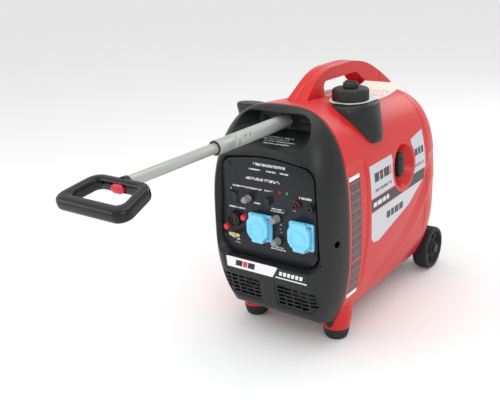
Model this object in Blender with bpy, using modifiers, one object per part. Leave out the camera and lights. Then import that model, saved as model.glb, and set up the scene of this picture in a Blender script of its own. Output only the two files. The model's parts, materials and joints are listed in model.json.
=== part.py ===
"""Suitcase inverter generator with a telescopic pull handle and two rear wheels.

Metres, +Z up. The control panel faces -Y, the fuel cap and the starter are on +X.
Body coordinates have X = 0 on the middle plane, Y = 0 on the sockets' front face and
Z = 0 on the ground. Everything hangs on one empty that brings the middle of the
whole object's footprint to the world's origin.
"""
import math

import bmesh
import bpy
from mathutils import Matrix, Vector

# ---------------------------------------------------------------- driving dimensions
GAP = 0.0003            # clearance between neighbouring pieces
SHARP_ANGLE = math.radians(35)      # edges sharper than this stay sharp in the shading
WALL = 0.003            # moulded wall

HALF_WIDTH = 0.137      # the case's half width, at its widest height
WAIST_Z = 0.210         # that height
CROWN = 0.237           # from there to the top of the case
KEEL = 0.216            # from there to where the lower curve would close
BOTTOM_Z = 0.046        # flat underside of the case
NOSE_Y = -0.010         # foremost point of the front housing
SEAM_Y = 0.060          # joint between the front housing and the red shells
REAR_SEAM_Y = 0.398     # joint between the red shells and the rear cover
TAIL_Y = 0.476          # rear face of the case
TOP_SLOPE = 0.085       # the crown falls this much for each metre run to the rear

PANEL_Y = 0.006         # front face of the control panel
PANEL_T = 0.003
PANEL_LOW_Z = 0.168
PANEL_HIGH_Z = 0.360

TUBE_Z = 0.414          # axis of the pull handle
POCKET_BACK_Y = 0.075   # back wall of the stowing pocket
COLLAR_Y = -0.132       # front end of stage one
NECK_Y = -0.3300        # front end of stage two, inside the grip's back bar
GRIP_BACK_Y = -0.3286
GRIP_LENGTH = 0.080
GRIP_FRONT_Y = -0.40765  # foremost point of the tilted grip
GRIP_TILT = math.radians(12.8)      # nose down
STAGE_ONE_R = 0.0125
STAGE_TWO_R = 0.0088
GUIDE_R = 0.0160

CAP_X, CAP_Y = 0.070, 0.185
CAP_R = 0.034
CAP_LOW_Z = 0.4362

RECESS_Y, RECESS_Z = 0.284, 0.292
RECESS_R = 0.046
RECESS_FLOOR_X = 0.098

WHEEL_Y = 0.466
WHEEL_R = 0.047
WHEEL_IN_X, WHEEL_OUT_X = 0.097, 0.130
AXLE_R = 0.006
FOOT_X, FOOT_Y, FOOT_R = 0.0925, 0.0865, 0.0255
FOOT_TOP_Z = 0.022

OUTLET_X, OUTLET_Z, OUTLET_R = -0.036, 0.2315, 0.013

PULLEY_R = 0.038
ROPE_R = 0.0018
CRANK_Z = RECESS_Z - ROPE_R - GAP - PULLEY_R    # the rope leaves the top of the pulley

ORIGIN_Y = (GRIP_FRONT_Y + WHEEL_Y + WHEEL_R) / 2

# ---------------------------------------------------------------- scene set-up
for leftover in list(bpy.data.objects):
    bpy.data.objects.remove(leftover, do_unlink=True)

parts = bpy.data.collections.new("inverter_generator")
guides = bpy.data.collections.new("cutters")
for group in (parts, guides):
    bpy.context.scene.collection.children.link(group)

origin = bpy.data.objects.new("generator_origin", None)
origin.location = (0.0, -ORIGIN_Y, 0.0)
parts.objects.link(origin)


def make_material(name, colour, roughness, metallic=0.0):
    material = bpy.data.materials.new(name)
    material.use_nodes = True
    shader = material.node_tree.nodes["Principled BSDF"]
    shader.inputs["Base Color"].default_value = (*colour, 1.0)
    shader.inputs["Roughness"].default_value = roughness
    shader.inputs["Metallic"].default_value = metallic
    return material


RED = make_material("red_case", (0.72, 0.035, 0.025), 0.35)
BLACK = make_material("black_case", (0.035, 0.035, 0.036), 0.45)
PANEL = make_material("panel_black", (0.016, 0.018, 0.024), 0.4)
BLUE = make_material("socket_blue", (0.24, 0.72, 1.0), 0.35)
GREY_TUBE = make_material("tube_grey", (0.45, 0.45, 0.42), 0.35, 0.6)
GLOSS_BLACK = make_material("grip_black", (0.02, 0.02, 0.02), 0.25)
BUTTON_RED = make_material("button_red", (0.8, 0.03, 0.05), 0.35)
RUBBER = make_material("rubber", (0.02, 0.02, 0.02), 0.8)
BRASS = make_material("brass", (0.75, 0.6, 0.35), 0.3, 1.0)
STEEL = make_material("steel", (0.5, 0.5, 0.5), 0.35, 1.0)
CAST = make_material("cast_aluminium", (0.45, 0.45, 0.45), 0.5, 1.0)
COPPER = make_material("copper_winding", (0.6, 0.25, 0.12), 0.4, 1.0)
PAPER = make_material("paper", (0.9, 0.88, 0.84), 0.8)
CLEAR = make_material("clear_boot", (0.7, 0.72, 0.75), 0.2)
LED_RED = make_material("led_red", (0.6, 0.05, 0.05), 0.3)
LED_GREEN = make_material("led_green", (0.1, 0.5, 0.1), 0.3)
TANK = make_material("tank_plastic", (0.12, 0.12, 0.12), 0.5)


# ---------------------------------------------------------------- mesh helpers
def add_object(name, bm, material=None, at=(0, 0, 0), group=None):
    """Links the mesh as a named piece whose origin is at `at` in body coordinates."""
    mesh = bpy.data.meshes.new(name)
    bmesh.ops.recalc_face_normals(bm, faces=bm.faces)
    bm.to_mesh(mesh)
    bm.free()
    mesh.shade_smooth()
    mesh.set_sharp_from_angle(angle=SHARP_ANGLE)
    if material:
        mesh.materials.append(material)
    piece = bpy.data.objects.new(name, mesh)
    piece.location = at
    piece.parent = origin
    (group or parts).objects.link(piece)
    return piece


def add_guide(name, bm, at=(0, 0, 0)):
    guide = add_object(name, bm, at=at, group=guides)
    guide.hide_render = True
    guide.display_type = "WIRE"
    return guide


def block(low, high):
    """A box between two corners."""
    bm = bmesh.new()
    bmesh.ops.create_cube(bm, size=1.0)
    size = [b - a for a, b in zip(low, high)]
    middle = [(a + b) / 2 for a, b in zip(low, high)]
    bmesh.ops.scale(bm, vec=size, verts=bm.verts)
    bmesh.ops.translate(bm, vec=middle, verts=bm.verts)
    return bm


def blocks(corner_pairs):
    """Several separate boxes in one mesh, for a tool that cuts a row of slots."""
    bm = bmesh.new()
    for low, high in corner_pairs:
        made = bmesh.ops.create_cube(bm, size=1.0)["verts"]
        bmesh.ops.scale(bm, vec=[b - a for a, b in zip(low, high)], verts=made)
        bmesh.ops.translate(bm, vec=[(a + b) / 2 for a, b in zip(low, high)], verts=made)
    return bm


AXIS_TURN = {
    "X": Matrix.Rotation(math.pi / 2, 3, "Y"),
    "Y": Matrix.Rotation(-math.pi / 2, 3, "X"),
    "Z": Matrix.Identity(3),
}


def rod(axis, start, end, radius, end_radius=None, at=(0, 0), segments=24):
    """A cylinder or cone along an axis, from start to end, centred at `at` on the others."""
    bm = bmesh.new()
    bmesh.ops.create_cone(bm, cap_ends=True, segments=segments, radius1=radius,
                          radius2=radius if end_radius is None else end_radius,
                          depth=end - start)
    bmesh.ops.rotate(bm, matrix=AXIS_TURN[axis], verts=bm.verts)
    others = [i for i in range(3) if "XYZ"[i] != axis]
    shift = Vector((0, 0, 0))
    shift["XYZ".index(axis)] = (start + end) / 2
    for i, value in zip(others, at):
        shift[i] = value
    bmesh.ops.translate(bm, vec=shift, verts=bm.verts)
    return bm


def loft(rings):
    """A closed body through rings with equal point counts, fanned at both ends."""
    bm = bmesh.new()
    rows = [[bm.verts.new(p) for p in ring] for ring in rings]
    count = len(rows[0])
    for one, two in zip(rows, rows[1:]):
        for i in range(count):
            j = (i + 1) % count
            bm.faces.new((one[i], one[j], two[j], two[i]))
    for row in (rows[0], rows[-1]):
        centre = sum((v.co for v in row), Vector()) / count
        hub = bm.verts.new(centre)
        for i in range(count):
            bm.faces.new((row[i], row[(i + 1) % count], hub))
    bmesh.ops.recalc_face_normals(bm, faces=bm.faces)
    return bm


def turned(name, profile, axis, material=None, at=(0, 0, 0), segments=24, group=None):
    """A profile of (radius, along the axis) points carried round the axis by a Screw."""
    place = {"X": lambda r, v: (v, r, 0.0),
             "Y": lambda r, v: (r, v, 0.0),
             "Z": lambda r, v: (r, 0.0, v)}[axis]
    turn = sum(a[0] * b[1] - b[0] * a[1] for a, b in zip(profile, profile[1:] + profile[:1]))
    if turn > 0:            # a Screw's profile has to run down its outer side
        profile = profile[::-1]
    bm = bmesh.new()
    points = [bm.verts.new(place(*p)) for p in profile]
    for one, two in zip(points, points[1:]):
        bm.edges.new((one, two))
    if profile[0][0] > 0:
        bm.edges.new((points[-1], points[0]))
    piece = add_object(name, bm, material, at, group)
    screw = piece.modifiers.new("turning", "SCREW")
    screw.axis = axis
    screw.steps = segments
    screw.render_steps = segments
    screw.use_merge_vertices = True
    screw.merge_threshold = 0.00005
    screw.use_smooth_shade = True
    piece.modifiers.new("flat_ends", "WEIGHTED_NORMAL")
    return piece


def pipe(start, end, outer, inner):
    """The closed profile of a hollow cylinder."""
    return [(outer, start), (outer, end), (inner, end), (inner, start)]


def rounded_outline(corners, steps=5):
    """Corner points (a, b, radius) turned into a closed outline with arcs."""
    outline = []
    count = len(corners)
    for i, (a, b, radius) in enumerate(corners):
        here = Vector((a, b))
        before = (Vector(corners[i - 1][:2]) - here).normalized()
        after = (Vector(corners[(i + 1) % count][:2]) - here).normalized()
        half = before.angle(after) / 2
        reach = radius / math.tan(half)
        start, end = here + before * reach, here + after * reach
        centre = here + (before + after).normalized() * (radius / math.sin(half))
        for k in range(steps + 1):
            swing = (start - centre).lerp(end - centre, k / steps)
            outline.append(centre + swing.normalized() * radius)
    return outline


def drawn_in(outline, inset):
    """The outline moved inwards along its own normals; a negative inset grows it."""
    count = len(outline)
    points = [Vector(p) for p in outline]
    area = sum(points[i - 1].cross(points[i]) for i in range(count))
    inward = 1 if area > 0 else -1
    moved = []
    for i, point in enumerate(points):
        along = (points[(i + 1) % count] - points[i - 1]).normalized()
        moved.append(point + inward * inset * Vector((-along.y, along.x)))
    return moved


def pillow(outline, axis, start, end, rounding, steps=2):
    """A slab whose two rims are rounded over."""
    place = {"X": lambda p, v: Vector((v, p[0], p[1])),
             "Y": lambda p, v: Vector((p[0], v, p[1])),
             "Z": lambda p, v: Vector((p[0], p[1], v))}[axis]
    rings = []
    for k in range(steps + 1):
        turn = math.pi / 2 * k / steps
        ring = drawn_in(outline, rounding * (1 - math.sin(turn)))
        rings.append([place(p, start + rounding * (1 - math.cos(turn))) for p in ring])
    for k in range(steps + 1):
        turn = math.pi / 2 * (1 - k / steps)
        ring = drawn_in(outline, rounding * (1 - math.sin(turn)))
        rings.append([place(p, end - rounding * (1 - math.cos(turn))) for p in ring])
    return loft(rings)


def slab(outline, axis, start, end):
    """An outline in the plane across an axis, as a filled curve extruded along it."""
    curve = bpy.data.curves.new("outline", "CURVE")
    curve.dimensions = "2D"
    curve.fill_mode = "BOTH"
    curve.extrude = (end - start) / 2
    spline = curve.splines.new("POLY")
    spline.points.add(len(outline) - 1)
    for point, (a, b) in zip(spline.points, outline):
        point.co = (a, b, 0.0, 1.0)
    spline.use_cyclic_u = True
    holder = bpy.data.objects.new("outline", curve)
    mesh = bpy.data.meshes.new_from_object(holder)
    bm = bmesh.new()
    bm.from_mesh(mesh)
    bpy.data.objects.remove(holder)
    bpy.data.curves.remove(curve)
    bpy.data.meshes.remove(mesh)
    bmesh.ops.remove_doubles(bm, verts=bm.verts, dist=0.00001)
    bmesh.ops.dissolve_limit(bm, angle_limit=0.001, verts=bm.verts, edges=bm.edges)
    middle = (start + end) / 2
    order = {"X": lambda a, b, t: (t + middle, a, b),
             "Y": lambda a, b, t: (a, t + middle, b),
             "Z": lambda a, b, t: (a, b, t + middle)}[axis]
    for vert in bm.verts:
        vert.co = order(*vert.co)
    return bm


def boolean(piece, tool, operation):
    modifier = piece.modifiers.new(operation.lower() + "_" + tool.name, "BOOLEAN")
    modifier.object = tool
    modifier.operation = operation
    modifier.solver = "EXACT"


def cut(piece, *tools):
    for tool in tools:
        boolean(piece, tool, "DIFFERENCE")


def join(piece, *tools):
    for tool in tools:
        boolean(piece, tool, "UNION")


def keep(piece, *tools):
    for tool in tools:
        boolean(piece, tool, "INTERSECT")


def settle(piece):
    """Applies a guide's modifiers, so that later cuts can use it as it stands."""
    graph = bpy.context.evaluated_depsgraph_get()
    mesh = bpy.data.meshes.new_from_object(piece.evaluated_get(graph))
    piece.modifiers.clear()
    piece.data = mesh
    return piece


def twin(guide, name, material):
    """A named piece that starts as a copy of a settled guide."""
    mesh = guide.data.copy()
    mesh.materials.clear()
    mesh.materials.append(material)
    piece = bpy.data.objects.new(name, mesh)
    piece.location = guide.location
    piece.parent = origin
    parts.objects.link(piece)
    return piece


# ---------------------------------------------------------------- the case's form
RING_POINTS = 40


def case_ring(y, scale, inset, keel_scale=None):
    """One outline of the case across Y: two superellipse halves on a flat underside."""
    drop = TOP_SLOPE * max(0.0, y - SEAM_Y)
    middle = WAIST_Z + 0.005
    ring = []
    for i in range(RING_POINTS):
        turn = 2 * math.pi * i / RING_POINTS
        power, height = (3.0, CROWN - drop) if math.sin(turn) > 0 else (2.5, KEEL)
        x = (HALF_WIDTH - inset) * abs(math.cos(turn)) ** (2 / power)
        z = (height - inset) * abs(math.sin(turn)) ** (2 / power)
        z = WAIST_Z + math.copysign(z, math.sin(turn))
        z = max(z, BOTTOM_Z + inset)
        x = math.copysign(x, math.cos(turn))
        share = keel_scale if keel_scale and z < middle else scale
        ring.append(Vector((x * scale, y, middle + (z - middle) * share)))
    return ring


def front_reach(z):
    """How far back the front face lies at a height: it leans back at the top and foot."""
    high = max(0.0, z - 0.29) / 0.14
    low = max(0.0, 0.20 - z) / 0.13
    return NOSE_Y + 0.030 * high ** 2 + 0.017 * low ** 2


def case_rings(inset):
    """Rings from the middle of the front face, round the case, to the rear face."""
    rings = []
    front_scale, front_keel, rear_scale = 0.708, 0.84, 0.72
    for share in (0.12, 0.45, 0.80):
        flat = case_ring(0.0, front_scale * share, inset, front_keel * share)
        rings.append([Vector((p.x, front_reach(p.z) + inset, p.z)) for p in flat])
    for step in range(6):
        turn = math.radians(90 - 18 * step)
        scale = 1 - (1 - front_scale) * (1 - math.cos(turn))
        keel = 1 - (1 - front_keel) * (1 - math.cos(turn))
        flat = case_ring(SEAM_Y, scale, inset, keel)
        depth = math.sin(turn)
        rings.append([Vector((p.x, SEAM_Y - (SEAM_Y - front_reach(p.z) - inset) * depth, p.z))
                      for p in flat])
    for y in (0.15, 0.25, 0.34):
        rings.append(case_ring(y, 1.0, inset))
    start = 0.405
    for step in range(6):
        turn = math.radians(18 * step)
        scale = 1 - (1 - rear_scale) * (1 - math.cos(turn))
        rings.append(case_ring(start + (TAIL_Y - inset - start) * math.sin(turn), scale, inset))
    rings.append(case_ring(TAIL_Y - inset, rear_scale * 0.4, inset))
    return rings


case_form = add_guide("case_form", loft(case_rings(0.0)))
clear_form = add_guide("clear_form", loft(case_rings(-GAP)))

HANDLE_HALF = 0.017
# carry handle: an arch on the middle plane with a window for the hand
HANDLE_OUTER = rounded_outline([
    (0.078, 0.390, 0.012), (0.078, 0.4215, 0.012), (0.1766, 0.4890, 0.140),
    (0.346, 0.4885, 0.250), (0.452, 0.4207, 0.016), (0.452, 0.375, 0.012)])
WINDOW = rounded_outline([
    (0.176, 0.4385, 0.004), (0.178, 0.4665, 0.012), (0.306, 0.4645, 0.028),
    (0.358, 0.4245, 0.004)])
handle_form = add_guide("handle_form", pillow(HANDLE_OUTER, "X", -HANDLE_HALF, HANDLE_HALF, 0.008))
window_tool = add_guide("window_tool", slab(WINDOW, "X", -0.05, 0.05))

# legs over the front feet
def egg_ring(x, y, z, half_x, half_y, points=28):
    """A level ellipse about a centre."""
    return [Vector((x + half_x * math.cos(2 * math.pi * i / points),
                    y + half_y * math.sin(2 * math.pi * i / points), z)) for i in range(points)]


leg_forms = []
for side in (-1, 1):
    leg = add_guide("leg_form", loft([
        egg_ring(side * FOOT_X, FOOT_Y, FOOT_TOP_Z + GAP, FOOT_R + 0.0005, FOOT_R + 0.0005, 20),
        egg_ring(side * (FOOT_X - 0.001), FOOT_Y + 0.002, 0.050, 0.0300, 0.0320, 20),
        egg_ring(side * (FOOT_X - 0.006), FOOT_Y + 0.007, 0.085, 0.0330, 0.0400, 20)]))
    leg_forms.append(leg)

# the wheels sit in a slanted cut across the lower rear corner
wheel_cut = add_guide("wheel_cut", slab(
    [(0.392, 0.040), (0.494, 0.106), (0.56, 0.106), (0.56, -0.02), (0.392, -0.02)],
    "X", -0.20, 0.20))
wheel_wells = [add_guide("wheel_well", rod("X", side * 0.152, side * 0.0935, WHEEL_R + 0.004,
                                           at=(WHEEL_Y, WHEEL_R), segments=32))
               for side in (-1, 1)]

# the starter's recess in the right side
recess_cup = add_guide("recess_cup", rod(
    "X", RECESS_FLOOR_X - WALL, 0.150, 0.034, RECESS_R + 0.006,
    at=(RECESS_Y, RECESS_Z), segments=32))
recess_tool = add_guide("recess_tool", rod(
    "X", RECESS_FLOOR_X, 0.150, 0.029, RECESS_R + 0.004,
    at=(RECESS_Y, RECESS_Z), segments=32))
rope_hole = add_guide("rope_hole", rod("X", 0.05, 0.12, 0.004, at=(RECESS_Y, RECESS_Z),
                                       segments=12))
neck_hole = add_guide("neck_hole", rod("Z", 0.36, 0.47, 0.0275, at=(CAP_X, CAP_Y)))
PAN_HALF, PAN_REAR_Y = 0.058, 0.384
cap_seat = add_guide("cap_seat", rod("Z", CAP_LOW_Z - 0.0013, 0.47, 0.0415, at=(CAP_X, CAP_Y)))
guide_bore = add_guide("guide_bore", rod("Y", 0.04, 0.3645, GUIDE_R + GAP, at=(0, TUBE_Z)))
belly_hole = add_guide("belly_hole", block((-PAN_HALF, 0.0, 0.02), (PAN_HALF, PAN_REAR_Y, 0.08)))

# ---------------------------------------------------------------- red shells
shell_form = add_guide("shell_form", loft(case_rings(0.0)))
join(shell_form, handle_form, *leg_forms)
settle(shell_form)
shell_room = add_guide("shell_room", loft(case_rings(WALL)))
cut(shell_room, recess_cup)
settle(shell_room)


def split_box(name, low, high):
    return add_guide(name, block(low, high))


right_box = split_box("right_box", (GAP / 2, SEAM_Y + GAP / 2, -0.1),
                      (0.3, REAR_SEAM_Y - GAP / 2, 0.6))
left_box = split_box("left_box", (-0.3, SEAM_Y + GAP / 2, -0.1),
                     (-GAP / 2, REAR_SEAM_Y - GAP / 2, 0.6))
rear_box = split_box("rear_box", (-0.3, REAR_SEAM_Y + GAP / 2, -0.1), (0.3, 0.6, 0.6))
front_box = split_box("front_box", (-0.3, -0.2, -0.1), (0.3, SEAM_Y - GAP / 2, 0.6))

right_shell = twin(shell_form, "right_shell", RED)
cut(right_shell, shell_room, window_tool, belly_hole, wheel_cut, *wheel_wells)
keep(right_shell, right_box)
cut(right_shell, recess_tool, rope_hole, neck_hole, cap_seat, guide_bore)

left_shell = twin(shell_form, "left_shell", RED)
cut(left_shell, shell_room, window_tool, belly_hole, wheel_cut, *wheel_wells)
keep(left_shell, left_box)
cut(left_shell, guide_bore)

# ---------------------------------------------------------------- rear cover and its grille
GRILLE_OUTLINE = rounded_outline([
    (-0.072, 0.150, 0.014), (-0.072, 0.318, 0.014), (0.072, 0.318, 0.014),
    (0.072, 0.150, 0.014)])
grille_hole = add_guide("grille_hole", slab(GRILLE_OUTLINE, "Y", 0.44, 0.50))
rear_cover = twin(shell_form, "rear_cover", RED)
cut(rear_cover, shell_room, wheel_cut, grille_hole, *wheel_wells)
keep(rear_cover, rear_box)

rear_grille = add_object("rear_grille", slab(drawn_in(GRILLE_OUTLINE, GAP),
                                             "Y", TAIL_Y - 0.0065, TAIL_Y - 0.0015), BLACK)
louvres = []
for row in range(9):
    z = 0.162 + 0.0165 * row
    for side in (-1, 1):
        if side == -1 and row in (3, 4, 5):
            continue                      # room for the exhaust outlet
        louvres.append(((side * 0.036 - 0.028, 0.46, z), (side * 0.036 + 0.028, 0.49, z + 0.007)))
louvre_tool = add_guide("louvre_tool", blocks(louvres))
outlet_hole = add_guide("outlet_hole", rod("Y", 0.45, 0.50, OUTLET_R + 0.0015,
                                           at=(OUTLET_X, OUTLET_Z)))
cut(rear_grille, louvre_tool, outlet_hole)


# ---------------------------------------------------------------- front housing
def panel_outline(grow):
    """The control panel's outline: wider at the foot, gently arched at the top."""
    low = PANEL_LOW_Z - grow * 0.5
    high = PANEL_HIGH_Z - 0.010 + grow * 0.7
    return rounded_outline([
        (-0.105 - grow, low, 0.030), (-0.097 - grow, high, 0.024), (0.0, high + 0.014, 0.30),
        (0.097 + grow, high, 0.024), (0.105 + grow, low, 0.030)], 4)


def pocket_outline(half_width, low, high, radius, grow=0.0):
    return rounded_outline([
        (-half_width - grow, low - grow, radius), (-half_width - grow, high + grow, radius),
        (half_width + grow, high + grow, radius), (half_width + grow, low - grow, radius)])


def between(outline_a, y_a, outline_b, y_b):
    """A closed body between two like outlines in planes across Y."""
    return loft([[Vector((p[0], y_a, p[1])) for p in outline_a],
                 [Vector((p[0], y_b, p[1])) for p in outline_b]])


def pocket_form(grow, back):
    """The stowing pocket: its floor climbs to the back wall, and its mouth flares."""
    mouth = pocket_outline(0.104, 0.3725, 0.450, 0.034, grow)
    rear = pocket_outline(0.058, 0.3985, 0.4295, 0.0145, grow)
    return between(mouth, -0.030, rear, back)


MOUTH_Y = -0.030
front_room = add_guide("front_room", loft(case_rings(WALL)))
frame_block = add_guide("frame_block", between(panel_outline(0.030), MOUTH_Y,
                                               panel_outline(0.003), PANEL_Y + PANEL_T))
pocket_block = add_guide("pocket_block", pocket_form(WALL, POCKET_BACK_Y + WALL))
cut(front_room, frame_block, pocket_block)
settle(front_room)

housing_form = add_guide("housing_form", loft(case_rings(0.0)))
join(housing_form, *leg_forms)
settle(housing_form)
pocket_rear = add_guide("pocket_rear", pocket_form(WALL + 0.0005, POCKET_BACK_Y + WALL + 0.0005))
keep(pocket_rear, add_guide("pocket_rear_box", block((-0.2, 0.050, 0.3), (0.2, 0.2, 0.5))))
settle(pocket_rear)
join(front_box, pocket_rear)
settle(front_box)
front_housing = twin(housing_form, "front_housing", BLACK)
keep(front_housing, front_box)
recess_mouth = add_guide("recess_mouth", between(panel_outline(0.027), MOUTH_Y,
                                                 panel_outline(GAP), PANEL_Y + PANEL_T + GAP))
pocket_tool = add_guide("pocket_tool", pocket_form(0.0, POCKET_BACK_Y))
guide_hole = add_guide("guide_hole", rod("Y", 0.05, 0.10, STAGE_ONE_R + 0.0012,
                                         at=(0, TUBE_Z)))
SLOT_PITCH, SLOT_LENGTH, SLOT_HEIGHT, SLOT_STEP = 0.0165, 0.0130, 0.0045, 0.0085
slots = []
for side in (-1, 1):
    for row in range(5):
        for column in range(4 if row == 4 else 5):
            inner = side * (0.021 + SLOT_PITCH * column)
            outer = inner + side * SLOT_LENGTH
            z = 0.124 - SLOT_STEP * row
            slots.append(((min(inner, outer), -0.03, z - SLOT_HEIGHT),
                          (max(inner, outer), 0.03, z)))
slot_tool = add_guide("slot_tool", blocks(slots))
cut(front_housing, front_room, recess_mouth, pocket_tool, guide_hole, slot_tool)

# ---------------------------------------------------------------- control panel
SOCKET_Z = 0.230
SOCKET_X = (-0.0148, 0.0731)
SOCKET_HALF = 0.025
WELL_R, CUP_R, CUP_BACK_Y = 0.0195, 0.0212, 0.0215
BREAKERS = {"dc_breaker": (-0.041, 0.2805), "ac_breaker_upper": (0.0200, 0.2520),
            "ac_breaker_lower": (0.0205, 0.2090)}
BREAKER_R = 0.0072
RESET_X, RESET_Z = 0.002, 0.2825
ROCKER_X, ROCKER_Z = -0.074, 0.279
DC_X, DC_Z = -0.073, 0.2348
PARALLEL_X = (0.062, 0.093)
PARALLEL_Z = 0.2840
GROUND_X, GROUND_Z = -0.070, 0.2068
LED_X = (0.012, 0.028, 0.043)
LED_Z = 0.3025

control_panel = add_object("control_panel", slab(drawn_in(panel_outline(0.0), GAP), "Y",
                                                 PANEL_Y, PANEL_Y + PANEL_T), PANEL)
through = [(x, z, BREAKER_R + 0.0005) for x, z in BREAKERS.values()]
through += [(RESET_X, RESET_Z, 0.0065), (DC_X, DC_Z, 0.0140)]
through += [(x, SOCKET_Z, CUP_R + 0.0005) for x in SOCKET_X]
for number, (x, z, radius) in enumerate(through):
    cut(control_panel, add_guide("panel_hole_%d" % number, rod(
        "Y", -0.01, 0.03, radius, at=(x, z), segments=20)))
rocker_hole = add_guide("rocker_hole", block((ROCKER_X - 0.0068, -0.01, ROCKER_Z - 0.0113),
                                             (ROCKER_X + 0.0068, 0.03, ROCKER_Z + 0.0113)))
cut(control_panel, rocker_hole)

# sockets: a square base with a round well, and a sprung lid hinged at the top
lid_outline = rounded_outline([
    (-0.0125, -0.0270, 0.003), (-0.0125, -0.0205, 0.004), (-0.0225, -0.012, 0.010),
    (-0.0225, 0.012, 0.010), (-0.0150, 0.0205, 0.004), (-0.0150, 0.0260, 0.002),
    (0.0150, 0.0260, 0.002), (0.0150, 0.0205, 0.004), (0.0225, 0.012, 0.010),
    (0.0225, -0.012, 0.010), (0.0125, -0.0205, 0.004), (0.0125, -0.0270, 0.003)], 2)
base_outline = rounded_outline([(-SOCKET_HALF, -SOCKET_HALF, 0.003), (-SOCKET_HALF, SOCKET_HALF, 0.003),
                                (SOCKET_HALF, SOCKET_HALF, 0.003), (SOCKET_HALF, -SOCKET_HALF, 0.003)], 3)
LID_HINGE_Z = 0.0235
for side, x in zip(("left", "right"), SOCKET_X):
    base = add_object("socket_%s_base" % side, slab(base_outline, "Y", 0.0, PANEL_Y - GAP),
                      BLUE, at=(x, 0.0, SOCKET_Z))
    join(base, add_guide("cup_" + side, rod("Y", 0.003, CUP_BACK_Y, CUP_R), at=(x, 0.0, SOCKET_Z)))
    cut(base, add_guide("well_" + side, rod("Y", -0.02, CUP_BACK_Y - 0.0025, WELL_R),
                        at=(x, 0.0, SOCKET_Z)))
    add_object("socket_%s_lid" % side, pillow(
        [p - Vector((0, LID_HINGE_Z)) for p in lid_outline], "Y", -0.0075, 0.0037, 0.0018, 1),
        BLUE, at=(x, -0.0040, SOCKET_Z + LID_HINGE_Z))

# booted push-button breakers, a bare push button, the rocker and the signal lamps
for name, (x, z) in BREAKERS.items():
    turned(name, [(0.0, 0.012), (BREAKER_R, 0.012), (BREAKER_R, -0.0060), (0.0062, -0.0075),
                  (0.0060, -0.0150), (0.0045, -0.0185), (0.0, -0.0190)], "Y", CLEAR,
           at=(x, PANEL_Y, z), segments=20)
add_object("reset_button", rod("Y", -0.006, 0.012, 0.0060, segments=20), BLACK,
           at=(RESET_X, PANEL_Y, RESET_Z))
rocker_profile = [(-0.0045, 0.0100), (0.0040, 0.0100), (0.0075, 0.0040), (0.0075, -0.0040),
                  (0.0040, -0.0100), (-0.0020, -0.0100), (-0.0008, 0.0)]
rocker = add_object("rocker_switch", slab(rocker_profile, "X", -0.0062, 0.0062), BLACK,
                    at=(ROCKER_X, PANEL_Y, ROCKER_Z))
for name, x, finish in zip(("oil_lamp", "overload_lamp", "output_lamp"), LED_X,
                           (LED_RED, LED_RED, LED_GREEN)):
    add_object(name, rod("Y", -0.0016, -GAP, 0.0022, 0.0028, segments=16), finish,
               at=(x, PANEL_Y, LED_Z))
for side, x in zip(("left", "right"), PARALLEL_X):
    turned("parallel_terminal_" + side, [(0.0, -GAP), (0.0072, -GAP), (0.0072, -0.0085),
                                         (0.0058, -0.0100), (0.0, -0.0100)], "Y", BLACK,
           at=(x, PANEL_Y, PARALLEL_Z), segments=20)
dc_socket = add_object("dc_socket", rod("Y", -0.0095, 0.012, 0.0135, segments=24), BLACK,
                       at=(DC_X, PANEL_Y, DC_Z))
cut(dc_socket, *[add_guide("dc_hole_%d" % k, block((DC_X + dx - hx, -0.02, DC_Z + dz - hz),
                                                  (DC_X + dx + hx, 0.008, DC_Z + dz + hz)))
                 for k, (dx, dz, hx, hz) in enumerate(((-0.0045, 0, 0.0012, 0.004),
                                                       (0.0045, 0, 0.0012, 0.004)))])
add_object("ground_stud", rod("Y", -0.0155, -GAP, 0.0025, segments=16), BRASS,
           at=(GROUND_X, PANEL_Y, GROUND_Z))
wing = turned("ground_wing_nut", pipe(-0.0125, -0.0055, 0.0052, 0.0028), "Y", BRASS,
              at=(GROUND_X, PANEL_Y, GROUND_Z), segments=16)
for side in (-1, 1):
    ear = add_guide("wing_ear", slab(rounded_outline([
        (side * 0.0042, -0.0035, 0.001), (side * 0.0042, 0.0035, 0.001),
        (side * 0.0125, 0.0050, 0.003), (side * 0.0125, -0.0020, 0.003)], 2),
        "Y", -0.0118, -0.0088), at=(GROUND_X, PANEL_Y, GROUND_Z))
    join(wing, ear)

# ---------------------------------------------------------------- pull handle
GUIDE_END_Y = 0.364
TUBE_AT = (0, 0, TUBE_Z)
turned("handle_guide", pipe(POCKET_BACK_Y + WALL + GAP, GUIDE_END_Y, GUIDE_R, STAGE_ONE_R + 0.0008),
       "Y", STEEL, TUBE_AT)
turned("handle_stage_one", pipe(COLLAR_Y, 0.150, STAGE_ONE_R, 0.0107), "Y", GREY_TUBE, TUBE_AT)
turned("handle_stage_two", pipe(NECK_Y, -0.074, STAGE_TWO_R, 0.0076), "Y", GREY_TUBE, TUBE_AT)

# D-shaped grip, wider at its front bar and tilted nose down about its back face
GRIP_BACK_HALF, GRIP_FRONT_HALF, GRIP_HALF_HIGH = 0.0559, 0.0718, 0.0101
GRIP_BAR = 0.0205
GRIP_SIDE_BACK, GRIP_SIDE_FRONT = 0.0165, 0.0220
grip_outline = rounded_outline([
    (-GRIP_BACK_HALF, 0.0, 0.0245), (GRIP_BACK_HALF, 0.0, 0.0245),
    (GRIP_FRONT_HALF, -GRIP_LENGTH, 0.0175), (-GRIP_FRONT_HALF, -GRIP_LENGTH, 0.0175)], 4)
loop_outline = rounded_outline([
    (GRIP_SIDE_BACK - GRIP_BACK_HALF, -0.0155, 0.009), (GRIP_BACK_HALF - GRIP_SIDE_BACK, -0.0155, 0.009),
    (GRIP_FRONT_HALF - GRIP_SIDE_FRONT, GRIP_BAR - GRIP_LENGTH, 0.009),
    (GRIP_SIDE_FRONT - GRIP_FRONT_HALF, GRIP_BAR - GRIP_LENGTH, 0.009)], 3)
GRIP_AT = (0, GRIP_BACK_Y, TUBE_Z)
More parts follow.
